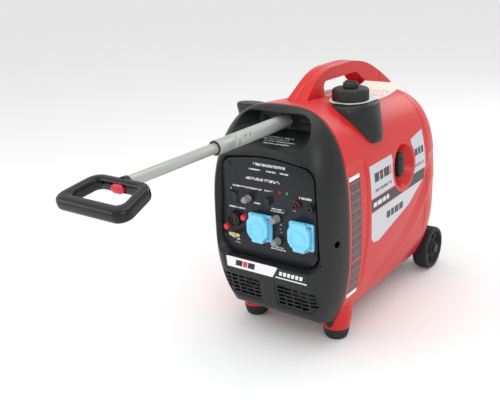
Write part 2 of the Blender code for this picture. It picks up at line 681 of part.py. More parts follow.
grip = add_object("grip", pillow(grip_outline, "Z", -GRIP_HALF_HIGH, GRIP_HALF_HIGH, 0.0055),
                  GLOSS_BLACK, at=GRIP_AT)
loop_tool = add_guide("loop_tool", slab(loop_outline, "Z", -0.03, 0.03), at=GRIP_AT)
button_room = add_guide("button_room", block((-0.0131, -0.0300, -0.0071),
                                             (0.0131, -0.0085, 0.0071)), at=GRIP_AT)
neck_form = add_guide("neck_form", rod("Y", GRIP_BACK_Y - 0.006, GRIP_BACK_Y + 0.0036, 0.0106,
                                       at=(0, TUBE_Z)))
neck_bore = add_guide("neck_bore", rod("Y", NECK_Y - GAP, NECK_Y + 0.02, STAGE_TWO_R + GAP,
                                       at=(0, TUBE_Z)))
join(grip, neck_form)
cut(grip, neck_bore, loop_tool, button_room)
release_button = add_object("release_button", pillow(rounded_outline([
    (-0.0125, -0.0065, 0.0055), (-0.0125, 0.0065, 0.0055), (0.0125, 0.0065, 0.0055),
    (0.0125, -0.0065, 0.0055)], 3), "Y", -0.0205, -0.0130, 0.002), BUTTON_RED, at=GRIP_AT)
for piece in (grip, loop_tool, button_room, release_button):
    piece.rotation_euler.x = GRIP_TILT


# ---------------------------------------------------------------- shoulders, cap and tag
POD_TOP_Z = 0.4345
right_pod = add_object("filler_shoulder", loft([
    egg_ring(0.072, 0.183, POD_TOP_Z, 0.043, 0.050), egg_ring(0.072, 0.183, 0.4315, 0.0475, 0.0555),
    egg_ring(0.075, 0.182, 0.419, 0.0510, 0.0640), egg_ring(0.084, 0.182, 0.400, 0.0455, 0.0570),
    egg_ring(0.096, 0.184, 0.378, 0.0345, 0.0400), egg_ring(0.1030, 0.187, 0.362, 0.0275, 0.0300),
    egg_ring(0.105, 0.189, 0.355, 0.0235, 0.0240)]), BLACK)
left_pod = add_object("left_shoulder_cover", loft([
    egg_ring(-0.090, 0.102, 0.4325, 0.024, 0.013), egg_ring(-0.092, 0.105, 0.4295, 0.033, 0.020),
    egg_ring(-0.094, 0.113, 0.4180, 0.0350, 0.0290), egg_ring(-0.096, 0.126, 0.395, 0.0320, 0.0400),
    egg_ring(-0.1020, 0.138, 0.370, 0.0275, 0.0300), egg_ring(-0.106, 0.142, 0.352, 0.0230, 0.0180)]),
    BLACK)
neck_bore_tool = add_guide("pod_bore", rod("Z", 0.38, 0.47, 0.0262, at=(CAP_X, CAP_Y)))
cut(right_pod, clear_form, neck_bore_tool)
cut(left_pod, clear_form)

cap_rings = []
for r, z in ((CAP_R, 0.0), (CAP_R, 0.0190), (CAP_R - 0.003, 0.0228)):
    ring = []
    for i in range(48):
        turn = 2 * math.pi * i / 48
        rib = -0.0011 if (i % 4 in (2, 3) and r == CAP_R) else 0.0
        ring.append(Vector(((r + rib) * math.cos(turn), (r + rib) * math.sin(turn), z)))
    cap_rings.append(ring)
fuel_cap = add_object("fuel_cap", loft(cap_rings), BLACK, at=(CAP_X, CAP_Y, CAP_LOW_Z))
cap_room = add_guide("cap_room", rod("Z", -0.01, 0.017, CAP_R - 0.0045), at=(CAP_X, CAP_Y, CAP_LOW_Z))
cut(fuel_cap, cap_room)
vent_knob = turned("vent_knob", [(0.0, 0.0232), (0.0140, 0.0232), (0.0140, 0.0300),
                                 (0.0125, 0.0328), (0.0, 0.0332)], "Z", BLACK,
                   at=(CAP_X, CAP_Y, CAP_LOW_Z))

# paper instruction tag round the filler neck, its far end curling up
TAG_Z = CAP_LOW_Z - 0.0009
tag_rows = []
for step in range(17):
    along = step / 16
    y = 0.147 + 0.140 * along
    front_round = math.sqrt(max(0.0, 1 - ((0.190 - y) / 0.045) ** 2)) if y < 0.190 else 1.0
    half = 0.006 + 0.034 * front_round
    lift = 0.016 * max(0.0, (y - 0.221) / 0.066) ** 2
    centre = CAP_X + 0.016 * max(0.0, (y - 0.200) / 0.087)
    tag_rows.append((centre - half, centre + half, y, TAG_Z + lift))


def tag_ring(left, right, y, z, thick=0.0005):
    return [Vector((left, y, z)), Vector((right, y, z)), Vector((right, y, z + thick)),
            Vector((left, y, z + thick))]


paper_tag = add_object("paper_tag", loft([tag_ring(*row) for row in tag_rows]), PAPER)
cut(paper_tag, add_guide("tag_hole", rod("Z", 0.40, 0.46, 0.0268, at=(CAP_X, CAP_Y))))

# ---------------------------------------------------------------- fuel tank
fuel_tank = add_object("fuel_tank", pillow(rounded_outline([
    (-0.098, 0.086, 0.02), (-0.098, 0.264, 0.02), (0.098, 0.264, 0.02), (0.098, 0.086, 0.02)]),
    "Z", 0.322, 0.394, 0.018), TANK)
filler_neck = add_guide("filler_neck", rod("Z", 0.38, CAP_LOW_Z + 0.012, 0.0258, at=(CAP_X, CAP_Y)))
filler_bore = add_guide("filler_bore", rod("Z", 0.35, 0.46, 0.0225, at=(CAP_X, CAP_Y)))
join(fuel_tank, filler_neck)
cut(fuel_tank, filler_bore)

# ---------------------------------------------------------------- base pan, feet and wheels
PAN_FRONT_Y = SEAM_Y + 2 * GAP
base_pan = add_object("base_pan", block((GAP - PAN_HALF, PAN_FRONT_Y, BOTTOM_Z + GAP),
                                        (PAN_HALF - GAP, PAN_REAR_Y - GAP, BOTTOM_Z + 0.014)), BLACK)
pan_room = add_guide("pan_room", block((WALL - PAN_HALF, PAN_FRONT_Y + WALL, BOTTOM_Z + WALL),
                                       (PAN_HALF - WALL, PAN_REAR_Y - WALL, 0.08)))
vents = [((-0.054 + 0.024 * k, 0.12, 0.0), (-0.042 + 0.024 * k, 0.20, 0.08)) for k in range(5)]
cut(base_pan, pan_room, add_guide("pan_vents", blocks(vents)))

for side, sign in (("left", -1), ("right", 1)):
    foot_rings = []
    for r, z in ((FOOT_R - 0.0065, 0.0), (FOOT_R - 0.0035, 0.0035), (FOOT_R, FOOT_TOP_Z)):
        ring = []
        for i in range(40):
            turn = 2 * math.pi * i / 40
            rib = -0.0008 if i % 4 in (2, 3) else 0.0
            ring.append(Vector(((r + rib) * math.cos(turn), (r + rib) * math.sin(turn), z)))
        foot_rings.append(ring)
    add_object("front_foot_" + side, loft(foot_rings), RUBBER, at=(sign * FOOT_X, FOOT_Y, 0))

    near, far = WHEEL_IN_X * sign, WHEEL_OUT_X * sign
    profile = [(AXLE_R + 0.0004, near), (0.013, near), (0.013, near + sign * 0.004),
               (0.036, near + sign * 0.004), (0.038, near), (WHEEL_R - 0.005, near),
               (WHEEL_R, near + sign * 0.005), (WHEEL_R, far - sign * 0.005),
               (WHEEL_R - 0.005, far), (0.038, far), (0.036, far - sign * 0.007),
               (0.014, far - sign * 0.007), (0.013, far), (AXLE_R + 0.0004, far)]
    turned("wheel_" + side, profile, "X", RUBBER, at=(0, WHEEL_Y, WHEEL_R), segments=28)
    low, high = sorted((far + sign * GAP, far + sign * 0.0045))
    add_object("axle_cap_" + side, rod("X", low, high, 0.011, 0.011, segments=20), BLACK,
               at=(0, WHEEL_Y, WHEEL_R))
add_object("axle", rod("X", -WHEEL_OUT_X, WHEEL_OUT_X, AXLE_R, segments=24), STEEL,
           at=(0, WHEEL_Y, WHEEL_R))
bracket = add_object("axle_bracket", slab([
    (0.386, 0.0455), (0.386, 0.0355), (0.452, 0.030), (0.478, 0.032), (0.4845, 0.046),
    (0.480, 0.062), (0.4715, 0.0905), (0.399, 0.0438)], "X", -0.090, 0.090), BLACK)
cut(bracket, add_guide("axle_bore", rod("X", -0.2, 0.2, AXLE_R + GAP), at=(0, WHEEL_Y, WHEEL_R)),
    add_guide("bracket_room", block((-0.078, 0.30, 0.0), (0.078, 0.462 - 0.012, 0.2))))

# ---------------------------------------------------------------- recoil starter
add_object("recoil_grip", pillow(rounded_outline([
    (-0.0105, -0.025, 0.008), (-0.0105, 0.025, 0.008), (0.0105, 0.025, 0.008),
    (0.0105, -0.025, 0.008)], 4), "X", 0.0, 0.027, 0.006), BLACK,
    at=(0.1035, RECESS_Y, RECESS_Z))
ROPE_END_X = -0.100
add_object("starter_rope", rod("X", ROPE_END_X, 0.1032, ROPE_R, segments=10), RUBBER,
           at=(0, RECESS_Y, RECESS_Z))
turned("starter_pulley", pipe(-0.004, 0.004, PULLEY_R, 0.0095), "Y", BLACK,
       at=(0, RECESS_Y, CRANK_Z), segments=32)
shroud = add_object("starter_housing", rod("Y", 0.268, 0.300, 0.062, at=(0, CRANK_Z), segments=32), BLACK)
cut(shroud, add_guide("shroud_room", rod("Y", 0.271, 0.31, 0.059, at=(0, CRANK_Z), segments=32)),
    add_guide("shroud_slot", block((-0.11, 0.276, RECESS_Z - 0.006), (0.11, 0.31, RECESS_Z + 0.04))))

# ---------------------------------------------------------------- engine and generator
crankshaft = add_object("crankshaft", rod("Y", 0.2725, 0.352, 0.009, segments=20), STEEL,
                        at=(0, 0, CRANK_Z))
join(crankshaft, add_guide("flywheel", rod("Y", 0.304, 0.316, 0.056, segments=32),
                           at=(0, 0, CRANK_Z)))
turned("stator", pipe(0.3165, 0.3365, 0.045, 0.0100), "Y", COPPER, at=(0, 0, CRANK_Z),
       segments=32)
engine = add_object("engine_block", block((-0.062, 0.337, 0.130), (0.062, 0.392, 0.305)), CAST)
cut(engine, add_guide("crank_bore", rod("Y", 0.33, 0.356, 0.0095), at=(0, 0, CRANK_Z)))
fins = [((0.066 + 0.0062 * k, 0.30, 0.16), (0.0692 + 0.0062 * k, 0.3427, 0.30)) for k in range(5)]
head = add_object("cylinder_head", block((0.0623, 0.340, 0.196), (0.098, 0.390, 0.260)), CAST)
cut(head, add_guide("head_fins", blocks(fins)))
add_object("carburettor", block((-0.090, 0.345, 0.235), (-0.0623, 0.380, 0.275)), CAST)
add_object("air_cleaner", pillow(rounded_outline([
    (-0.118, 0.220, 0.01), (-0.118, 0.300, 0.01), (-0.0925, 0.300, 0.01), (-0.0925, 0.220, 0.01)], 3),
    "Z", 0.190, 0.270, 0.006), BLACK)
add_object("muffler", pillow(rounded_outline([
    (-0.066, 0.165, 0.016), (-0.066, 0.285, 0.016), (0.066, 0.285, 0.016), (0.066, 0.165, 0.016)]),
    "Y", 0.4005, 0.452, 0.008), STEEL)
turned("exhaust_outlet", pipe(0.4523, TAIL_Y + 0.004, OUTLET_R, OUTLET_R - 0.0015), "Y", STEEL,
       at=(OUTLET_X, 0, OUTLET_Z))
inverter = add_object("inverter_module", block((-0.085, 0.094, 0.085), (0.085, 0.190, 0.150)), CAST)
cut(inverter, add_guide("heat_fins", blocks([
    ((-0.078 + 0.0133 * k, 0.08, 0.130), (-0.0705 + 0.0133 * k, 0.20, 0.16)) for k in range(12)])))
add_object("oil_filler_cap", rod("X", -0.078, -0.0623, 0.0105, at=(0.365, 0.160), segments=20), BLACK)
for side, sign in (("left", -1), ("right", 1)):
    low, high = sorted((sign * 0.028, sign * 0.052))
    add_object("engine_mount_" + side, block((low, 0.345, BOTTOM_Z + 0.0038),
                                             (high, 0.378, 0.1297)), RUBBER)

# ---------------------------------------------------------------- left service cover
# an inlaid panel, flush with the left shell
COVER_DEPTH = 0.0015
cover_core = add_guide("cover_core", loft(case_rings(COVER_DEPTH)))
cover_floor = add_guide("cover_floor", loft(case_rings(COVER_DEPTH - GAP)))
COVER_OUTLINE = rounded_outline([
    (0.150, 0.105, 0.016), (0.150, 0.275, 0.016), (0.345, 0.275, 0.016), (0.345, 0.105, 0.016)])
cover_room = add_guide("cover_room", slab(COVER_OUTLINE, "X", -0.30, -0.05))
cut(cover_room, cover_core)
settle(cover_room)
cut(left_shell, cover_room)
service_cover = twin(case_form, "service_cover", RED)
keep(service_cover, add_guide("cover_edge", slab(drawn_in(COVER_OUTLINE, GAP), "X", -0.30, -0.05)))
cut(service_cover, cover_floor)
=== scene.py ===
import json
import math
import bpy
from mathutils import Matrix, Vector


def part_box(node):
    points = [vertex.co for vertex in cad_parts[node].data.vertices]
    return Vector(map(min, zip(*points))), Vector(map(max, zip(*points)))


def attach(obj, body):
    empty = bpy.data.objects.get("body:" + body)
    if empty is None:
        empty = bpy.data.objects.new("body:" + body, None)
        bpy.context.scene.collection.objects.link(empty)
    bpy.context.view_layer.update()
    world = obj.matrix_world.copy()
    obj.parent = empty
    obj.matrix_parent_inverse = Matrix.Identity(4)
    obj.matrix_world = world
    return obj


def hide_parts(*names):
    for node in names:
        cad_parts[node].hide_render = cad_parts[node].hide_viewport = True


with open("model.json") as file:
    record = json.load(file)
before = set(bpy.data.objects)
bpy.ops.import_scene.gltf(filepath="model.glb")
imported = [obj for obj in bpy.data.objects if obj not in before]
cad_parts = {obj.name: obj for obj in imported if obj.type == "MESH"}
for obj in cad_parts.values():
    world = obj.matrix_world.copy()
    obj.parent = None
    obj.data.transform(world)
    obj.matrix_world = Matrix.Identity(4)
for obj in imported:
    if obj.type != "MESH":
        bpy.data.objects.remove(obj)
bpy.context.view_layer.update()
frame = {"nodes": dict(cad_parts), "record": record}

# case measures below have y = 0 at the sockets' face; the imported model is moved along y
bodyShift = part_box("wheel_right")[1].y - 0.513
tau = 2 * math.pi
print("frame loaded, case moved by", round(bodyShift, 5))


def fromHex(code):      # sRGB hex to the linear colour a shader wants
    parts = [int(code[i:i + 2], 16) / 255 for i in (0, 2, 4)]
    return tuple(c / 12.92 if c <= 0.04045 else ((c + 0.055) / 1.055) ** 2.4 for c in parts) + (1.0,)


def addNode(material, kind, inputs=None, **settings):
    node = material.node_tree.nodes.new(kind)
    for key, value in settings.items():
        setattr(node, key, value)
    for key, value in (inputs or {}).items():
        if isinstance(value, bpy.types.NodeSocket):
            material.node_tree.links.new(value, node.inputs[key])
        else:
            node.inputs[key].default_value = value
    return node


def moulded(look):
    # colour clouds, and a grain in the bump and the roughness; a real moulded grain is about 0.1 mm,
    # so each look's grainMm is drawn about ten times as coarse for it to show
    material = bpy.data.materials.new(look["name"])
    material.use_nodes = True
    links = material.node_tree.links
    shader = material.node_tree.nodes["Principled BSDF"]
    shader.inputs["Metallic"].default_value = look.get("metal", 0.0)
    shader.inputs["Coat Weight"].default_value = look.get("coat", 0.0)
    shader.inputs["Coat Roughness"].default_value = 0.08
    if "ior" in look:
        shader.inputs["IOR"].default_value = look["ior"]
    if "through" in look:
        shader.inputs["Transmission Weight"].default_value = look["through"]
    place = addNode(material, "ShaderNodeTexCoord").outputs["Object"]
    stretch = look.get("stretch", (1, 1, 1))
    turned = addNode(material, "ShaderNodeMapping", {"Vector": place, "Scale": stretch})
    grain = addNode(material, "ShaderNodeTexNoise", {"Vector": turned.outputs[0],
                                                     "Scale": 1 / (look["grainMm"] * 0.001),
                                                     "Detail": 3.0})
    clouds = addNode(material, "ShaderNodeTexNoise", {"Vector": place,
                                                      "Scale": 1 / (look.get("cloudMm", 60) * 0.001),
                                                      "Detail": 2.0})
    tint = addNode(material, "ShaderNodeMix", data_type="RGBA")
    links.new(clouds.outputs["Fac"], tint.inputs[0])
    tint.inputs[6].default_value = fromHex(look["colour"])
    tint.inputs[7].default_value = fromHex(look["shade"])
    dull = addNode(material, "ShaderNodeMapRange", {"Value": grain.outputs["Fac"], "From Min": 0.3,
                                                    "From Max": 0.7,
                                                    "To Min": look["rough"] - look["spread"],
                                                    "To Max": look["rough"] + look["spread"]})
    bump = addNode(material, "ShaderNodeBump", {"Height": grain.outputs["Fac"],
                                                "Strength": look.get("strength", 0.35),
                                                "Distance": look["deepMm"] * 0.001})
    links.new(tint.outputs[2], shader.inputs["Base Color"])
    links.new(dull.outputs[0], shader.inputs["Roughness"])
    links.new(bump.outputs[0], shader.inputs["Normal"])
    return material


def along(material, axis):       # one coordinate of the case, in metres from its own zero
    place = addNode(material, "ShaderNodeTexCoord").outputs["Object"]
    apart = addNode(material, "ShaderNodeSeparateXYZ", {"Vector": place}).outputs[axis]
    if axis != "Y":
        return apart
    return addNode(material, "ShaderNodeMath", {0: apart, 1: bodyShift}, operation="SUBTRACT").outputs[0]


def both(material, one, two, how="MULTIPLY"):
    return addNode(material, "ShaderNodeMath", {0: one, 1: two}, operation=how).outputs[0]


def patch(material, across, up, low, high):      # 1 inside a rectangle given in millimetres
    sides = []
    for value, start, end in ((across, low[0], high[0]), (up, low[1], high[1])):
        sides.append(addNode(material, "ShaderNodeMath", {0: value, 1: (start + end) / 2000,
                                                          2: abs(end - start) / 2000},
                             operation="COMPARE").outputs[0])
    return both(material, *sides)


def shape(material, across, up, corners):        # 1 inside a convex outline, corners in millimetres
    inside = None
    middle = [sum(c[i] for c in corners) / len(corners) for i in (0, 1)]
    for (a, b), (c, d) in zip(corners, corners[1:] + corners[:1]):
        normal = (b - d, c - a)
        reach = normal[0] * a + normal[1] * b
        if normal[0] * middle[0] + normal[1] * middle[1] < reach:
            normal, reach = (-normal[0], -normal[1]), -reach
        part = addNode(material, "ShaderNodeMath", {0: across, 1: normal[0], 2: 0.0},
                       operation="MULTIPLY_ADD").outputs[0]
        part = addNode(material, "ShaderNodeMath", {0: up, 1: normal[1], 2: part},
                       operation="MULTIPLY_ADD").outputs[0]
        part = addNode(material, "ShaderNodeMath", {0: part, 1: reach / 1000}, operation="GREATER_THAN")
        inside = part.outputs[0] if inside is None else both(material, inside, part.outputs[0])
    return inside


def printRows(material, across, up, boxes, wordMm=3.2):      # rows of dashes with no lettering in them
    rows = None
    for low, high in boxes:
        row = patch(material, across, up, low, high)
        rows = row if rows is None else both(material, rows, row, "MAXIMUM")
    level = addNode(material, "ShaderNodeMath", {0: up, 1: 0.004}, operation="SNAP").outputs[0]
    place = addNode(material, "ShaderNodeCombineXYZ", {"X": across, "Y": level})
    words = addNode(material, "ShaderNodeTexNoise", {"Vector": place.outputs[0],
                                                     "Scale": 1 / (wordMm * 0.001), "Detail": 0.0})
    dashes = addNode(material, "ShaderNodeMath", {0: words.outputs["Fac"], 1: 0.43},
                     operation="GREATER_THAN").outputs[0]
    return both(material, rows, dashes)


def painted(material, layers):       # lays flat colours over the base, in order
    shader = material.node_tree.nodes["Principled BSDF"]
    links = material.node_tree.links
    under = shader.inputs["Base Color"].links[0].from_socket
    for mask, colour in layers:
        mix = addNode(material, "ShaderNodeMix", data_type="RGBA")
        links.new(mask, mix.inputs[0])
        links.new(under, mix.inputs[6])
        mix.inputs[7].default_value = fromHex(colour)
        under = mix.outputs[2]
    links.new(under, shader.inputs["Base Color"])


looks = {
    # glossy coloured ABS: broad soft highlights, next to no grain
    "red": {"name": "glossAbsInjectionMoulded", "slot": "red_case", "colour": "CE1D1C",
        "shade": "C61817", "rough": 0.32, "spread": 0.05, "grainMm": 1.6, "deepMm": 0.05, "coat": 0.06,
        "ior": 1.42},
    # spark-eroded ABS: an even grain that spreads the highlights
    "charcoal": {"name": "grainedAbsSparkEroded", "slot": "black_case", "colour": "1E1F20",
        "shade": "191A1B", "rough": 0.38, "spread": 0.08, "grainMm": 1.3, "deepMm": 0.12,
        "strength": 0.45, "ior": 1.40},
    # polished nylon: small sharp highlights on near black
    "gloss": {"name": "polishedNylonMoulded", "slot": "grip_black", "colour": "131314",
        "shade": "0F0F10", "rough": 0.20, "spread": 0.04, "grainMm": 2.0, "deepMm": 0.04, "ior": 1.40},
    # printed polyester film: flat, faintly blue, with white print
    "film": {"name": "polyesterFilmPrinted", "slot": "panel_black", "colour": "191C23",
        "shade": "16191F", "rough": 0.36, "spread": 0.05, "grainMm": 0.9, "deepMm": 0.04, "ior": 1.40},
    # moulded polyamide: a soft even sheen over pale blue
    "blue": {"name": "polyamideSocketMoulded", "slot": "socket_blue", "colour": "84DAFB",
        "shade": "79D2F6", "rough": 0.34, "spread": 0.05, "grainMm": 1.2, "deepMm": 0.05},
    # satin lacquer over drawn tube: pale grey, a sheen drawn along the tube
    "lacquer": {"name": "satinLacquerOnDrawnTube", "slot": "tube_grey", "colour": "B2B4AE",
        "shade": "A9ABA5", "rough": 0.36, "spread": 0.07, "grainMm": 0.8, "deepMm": 0.03,
        "metal": 0.25, "stretch": (1, 0.08, 1)},
    # moulded nitrile rubber: dull, with broad weak highlights
    "rubber": {"name": "nitrileRubberMoulded", "slot": "rubber", "colour": "232324", "shade": "1D1D1E",
        "rough": 0.72, "spread": 0.08, "grainMm": 1.0, "deepMm": 0.12},
    # moulded acetal: waxy red
    "button": {"name": "acetalButtonMoulded", "slot": "button_red", "colour": "E0283A",
        "shade": "D42435", "rough": 0.32, "spread": 0.05, "grainMm": 1.5, "deepMm": 0.03},
    # nickelled brass: pale warm metal
    "brass": {"name": "nickelledBrassTurned", "slot": "brass", "colour": "D8C79A", "shade": "C9B585",
        "rough": 0.28, "spread": 0.08, "grainMm": 0.6, "deepMm": 0.03, "metal": 1.0},
    # zinc-coated drawn steel: grey metal, lines along the draw
    "steel": {"name": "zincSteelDrawn", "slot": "steel", "colour": "B4B6B8", "shade": "A3A5A7",
        "rough": 0.34, "spread": 0.1, "grainMm": 0.5, "deepMm": 0.03, "metal": 1.0,
        "stretch": (1, 0.1, 1)},
    # die-cast aluminium: a coarse matt metal
    "cast": {"name": "aluminiumDieCast", "slot": "cast_aluminium", "colour": "A9ABAC",
        "shade": "989A9B", "rough": 0.55, "spread": 0.12, "grainMm": 1.2, "deepMm": 0.15, "metal": 1.0},
    # enamelled copper winding: dark orange metal
    "copper": {"name": "enamelledCopperWound", "slot": "copper_winding", "colour": "B4623A",
        "shade": "9A4E2C", "rough": 0.38, "spread": 0.1, "grainMm": 0.9, "deepMm": 0.2, "metal": 0.9},
    # coated paper: off-white and matt, with faint print
    "paper": {"name": "coatedPaperCut", "slot": "paper", "colour": "E6E2DA", "shade": "DDD8CF",
        "rough": 0.7, "spread": 0.08, "grainMm": 0.9, "deepMm": 0.05},
    # clear silicone: the dark core shows through, with a wet highlight
    "boot": {"name": "clearSiliconeMoulded", "slot": "clear_boot", "colour": "FFFFFF",
        "shade": "F4F7FA", "rough": 0.08, "spread": 0.03, "grainMm": 2.0, "deepMm": 0.03,
        "through": 0.72, "ior": 1.38},
    # red acrylic lens: smooth and saturated
    "lampRed": {"name": "redAcrylicLens", "slot": "led_red", "colour": "C22A24", "shade": "A82019",
        "rough": 0.2, "spread": 0.04, "grainMm": 1.0, "deepMm": 0.02},
    # green acrylic lens: smooth and saturated
    "lampGreen": {"name": "greenAcrylicLens", "slot": "led_green", "colour": "3FB04A",
        "shade": "2F9A3B", "rough": 0.2, "spread": 0.04, "grainMm": 1.0, "deepMm": 0.02},
    # blow-moulded polyethylene: dark and waxy
    "tank": {"name": "polyethyleneBlowMoulded", "slot": "tank_plastic", "colour": "2C2D2E",
        "shade": "262728", "rough": 0.5, "spread": 0.08, "grainMm": 1.5, "deepMm": 0.1},
    # black ABS: plain moulded trim
    "dark": {"name": "blackAbsMoulded", "slot": "black_case", "colour": "161718", "shade": "121314",
        "rough": 0.5, "spread": 0.06, "grainMm": 1.2, "deepMm": 0.06},
    # white print on film: flat white
    "white": {"name": "whitePrintOnFilm", "slot": "paper", "colour": "F1F2F4", "shade": "EAEBEE",
        "rough": 0.32, "spread": 0.05, "grainMm": 1.5, "deepMm": 0.02},
}
finish = {key: moulded(look) for key, look in looks.items()}
print("materials made")


# modelling helpers; everything is shaped in the case's own measures and moved once at the end
def only(obj):
    bpy.ops.object.select_all(action="DESELECT")
    obj.select_set(True)
    bpy.context.view_layer.objects.active = obj
    return obj


def applyAll(obj):
    only(obj)
    for modifier in list(obj.modifiers):
        bpy.ops.object.modifier_apply(modifier=modifier.name)
    return obj


def named(name):
    obj = bpy.context.view_layer.objects.active
    obj.name = name
    obj.data.name = name
    bpy.ops.object.transform_apply(location=True, rotation=True, scale=True)
    return obj


def tidyMesh(obj, distance=0.00005):
    only(obj)
    bpy.ops.object.mode_set(mode="EDIT")
    bpy.ops.mesh.select_all(action="SELECT")
    bpy.ops.mesh.remove_doubles(threshold=distance)
    bpy.ops.mesh.delete_loose()
    bpy.ops.mesh.select_all(action="SELECT")
    bpy.ops.mesh.normals_make_consistent(inside=False)
    bpy.ops.object.mode_set(mode="OBJECT")
    return obj


def box(name, low, high):
    bpy.ops.object.select_all(action="DESELECT")
    bpy.ops.mesh.primitive_cube_add(size=1, location=[(a + b) / 2 for a, b in zip(low, high)],
                                    scale=[b - a for a, b in zip(low, high)])
    return named(name)


def rod(name, axis, start, end, radius, endRadius=None, at=(0, 0), sides=48):
    turn = {"X": (0, math.pi / 2, 0), "Y": (-math.pi / 2, 0, 0), "Z": (0, 0, 0)}[axis]
    spot = list(at)
    spot.insert("XYZ".index(axis), (start + end) / 2)
    bpy.ops.object.select_all(action="DESELECT")
    bpy.ops.mesh.primitive_cone_add(vertices=sides, radius1=radius, depth=end - start, location=spot,
                                    radius2=radius if endRadius is None else endRadius, rotation=turn)
    return named(name)


def loft(name, rings):       # a grid carried through rings with equal point counts, its ends closed
    count = len(rings[0])
    bpy.ops.object.select_all(action="DESELECT")
    bpy.ops.mesh.primitive_grid_add(x_subdivisions=count, y_subdivisions=len(rings) + 1, size=1)
    obj = named(name)
    middle = [sum((Vector(p) for p in ring), Vector()) / count for ring in (rings[0], rings[-1])]
    rows = [[middle[0]] * (count + 1)] + [list(r) + [r[0]] for r in rings] + [[middle[1]] * (count + 1)]
    for vertex, spot in zip(obj.data.vertices, [p for row in rows for p in row]):
        vertex.co = spot
    return tidyMesh(obj, 0.000001)


def lathe(name, axis, profile, at=(0, 0, 0), sides=64):      # closed (radius, along) points in millimetres
    place = {"X": lambda r, v: (v, r, 0), "Y": lambda r, v: (r, v, 0), "Z": lambda r, v: (r, 0, v)}[axis]
    bpy.ops.object.select_all(action="DESELECT")
    bpy.ops.mesh.primitive_circle_add(vertices=len(profile), radius=1)
    obj = named(name)
    for vertex, point in zip(obj.data.vertices, profile):
        vertex.co = Vector(place(*point)) / 1000
    bpy.ops.object.mode_set(mode="EDIT")
    bpy.ops.mesh.select_all(action="SELECT")
    bpy.ops.mesh.spin(steps=sides, angle=tau, center=(0, 0, 0),
                      axis=[1.0 if axis == letter else 0.0 for letter in "XYZ"])
    bpy.ops.object.mode_set(mode="OBJECT")
    tidyMesh(obj, 0.000002)
    obj.data.transform(Matrix.Translation(at))
    return obj


def roundOutline(corners, steps=8):
    outline = []
    for i, (a, b, radius) in enumerate(corners):
        here = Vector((a, b))
        before = (Vector(corners[i - 1][:2]) - here).normalized()
        after = (Vector(corners[(i + 1) % len(corners)][:2]) - here).normalized()
        half = before.angle(after) / 2
        start, end = (here + side * (radius / math.tan(half)) for side in (before, after))
        centre = here + (before + after).normalized() * (radius / math.sin(half))
        for k in range(steps + 1):
            outline.append(centre + (start - centre).lerp(end - centre, k / steps).normalized() * radius)
    return outline


def roundBox(low, high, radius, steps=8):
    (a, b), (c, d) = low, high
    return roundOutline([(a, b, radius), (a, d, radius), (c, d, radius), (c, b, radius)], steps)


def plate(name, outline, axis, start, end):      # an outline filled and extruded along an axis
    place = {"X": lambda p: (start, p[0], p[1]), "Y": lambda p: (p[0], start, p[1]),
             "Z": lambda p: (p[0], p[1], start)}[axis]
    bpy.ops.object.select_all(action="DESELECT")
    bpy.ops.mesh.primitive_circle_add(vertices=len(outline), radius=1, fill_type="NGON")
    obj = named(name)
    for vertex, point in zip(obj.data.vertices, outline):
        vertex.co = place(point)
    bpy.ops.object.mode_set(mode="EDIT")
    bpy.ops.mesh.select_all(action="SELECT")
    step = [end - start if axis == letter else 0.0 for letter in "XYZ"]
    bpy.ops.mesh.extrude_region_move(TRANSFORM_OT_translate={"value": step})
    bpy.ops.object.mode_set(mode="OBJECT")
    return tidyMesh(obj, 0.000001)


def twinOf(obj, name):
    copy = obj.copy()
    copy.data = obj.data.copy()
    copy.name = name
    copy.data.name = name
    bpy.context.scene.collection.objects.link(copy)
    return copy


def soften(obj, width, segments=3, angle=32, clamp=True):
    before = twinOf(obj, "before")
    bevel = obj.modifiers.new("softened", "BEVEL")
    bevel.width = width
    bevel.segments = segments
    bevel.limit_method = "ANGLE"
    bevel.angle_limit = math.radians(angle)
    bevel.use_clamp_overlap = clamp
    applyAll(obj)
    if not clamp:            # a point thrown off by a narrow corner goes back to the surface
        bpy.context.view_layer.update()
        for vertex in obj.data.vertices:
            spot = before.closest_point_on_mesh(vertex.co)[1]
            if (spot - vertex.co).length > width * 0.5:
                vertex.co = spot
    bpy.data.objects.remove(before)
    return obj


def combine(obj, tools, how="DIFFERENCE", solver="MANIFOLD", kept=()):
    for tool in tools:
        spare = obj.data.copy()
        boolean = obj.modifiers.new("cut", "BOOLEAN")
        boolean.object = tool
        boolean.operation = how
        boolean.solver = solver
        applyAll(obj)
        if not obj.data.polygons:            # an input with a flaw gives nothing; the exact way copes
            print("exact way for", obj.name, tool.name)
            obj.data = spare
            boolean = obj.modifiers.new("cut", "BOOLEAN")
            boolean.object = tool
            boolean.operation = how
            boolean.solver = "EXACT"
            applyAll(obj)
        if tool not in kept:
            bpy.data.objects.remove(tool)
    return obj


def merged(name, objects):
    bpy.ops.object.select_all(action="DESELECT")
    for obj in objects:
        obj.select_set(True)
    bpy.context.view_layer.objects.active = objects[0]
    bpy.ops.object.join()
    objects[0].name = name
    objects[0].data.name = name
    return objects[0]


def done(obj, body, look, nodes=(), angle=35, material=None, moved=True):
    if moved:
        obj.data.transform(Matrix.Translation((0, bodyShift, 0)))
    obj.data.materials.clear()
    obj.data.materials.append(material or finish[look])
    only(obj)
    bpy.ops.object.shade_smooth_by_angle(angle=math.radians(angle), keep_sharp_edges=False)
    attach(obj, body)
    if nodes:
        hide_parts(*nodes)
    return obj


bodies = frame["record"]["behaviour"]["bodies"]
bodyOf = {node: name for name, members in bodies.items() for node in members}


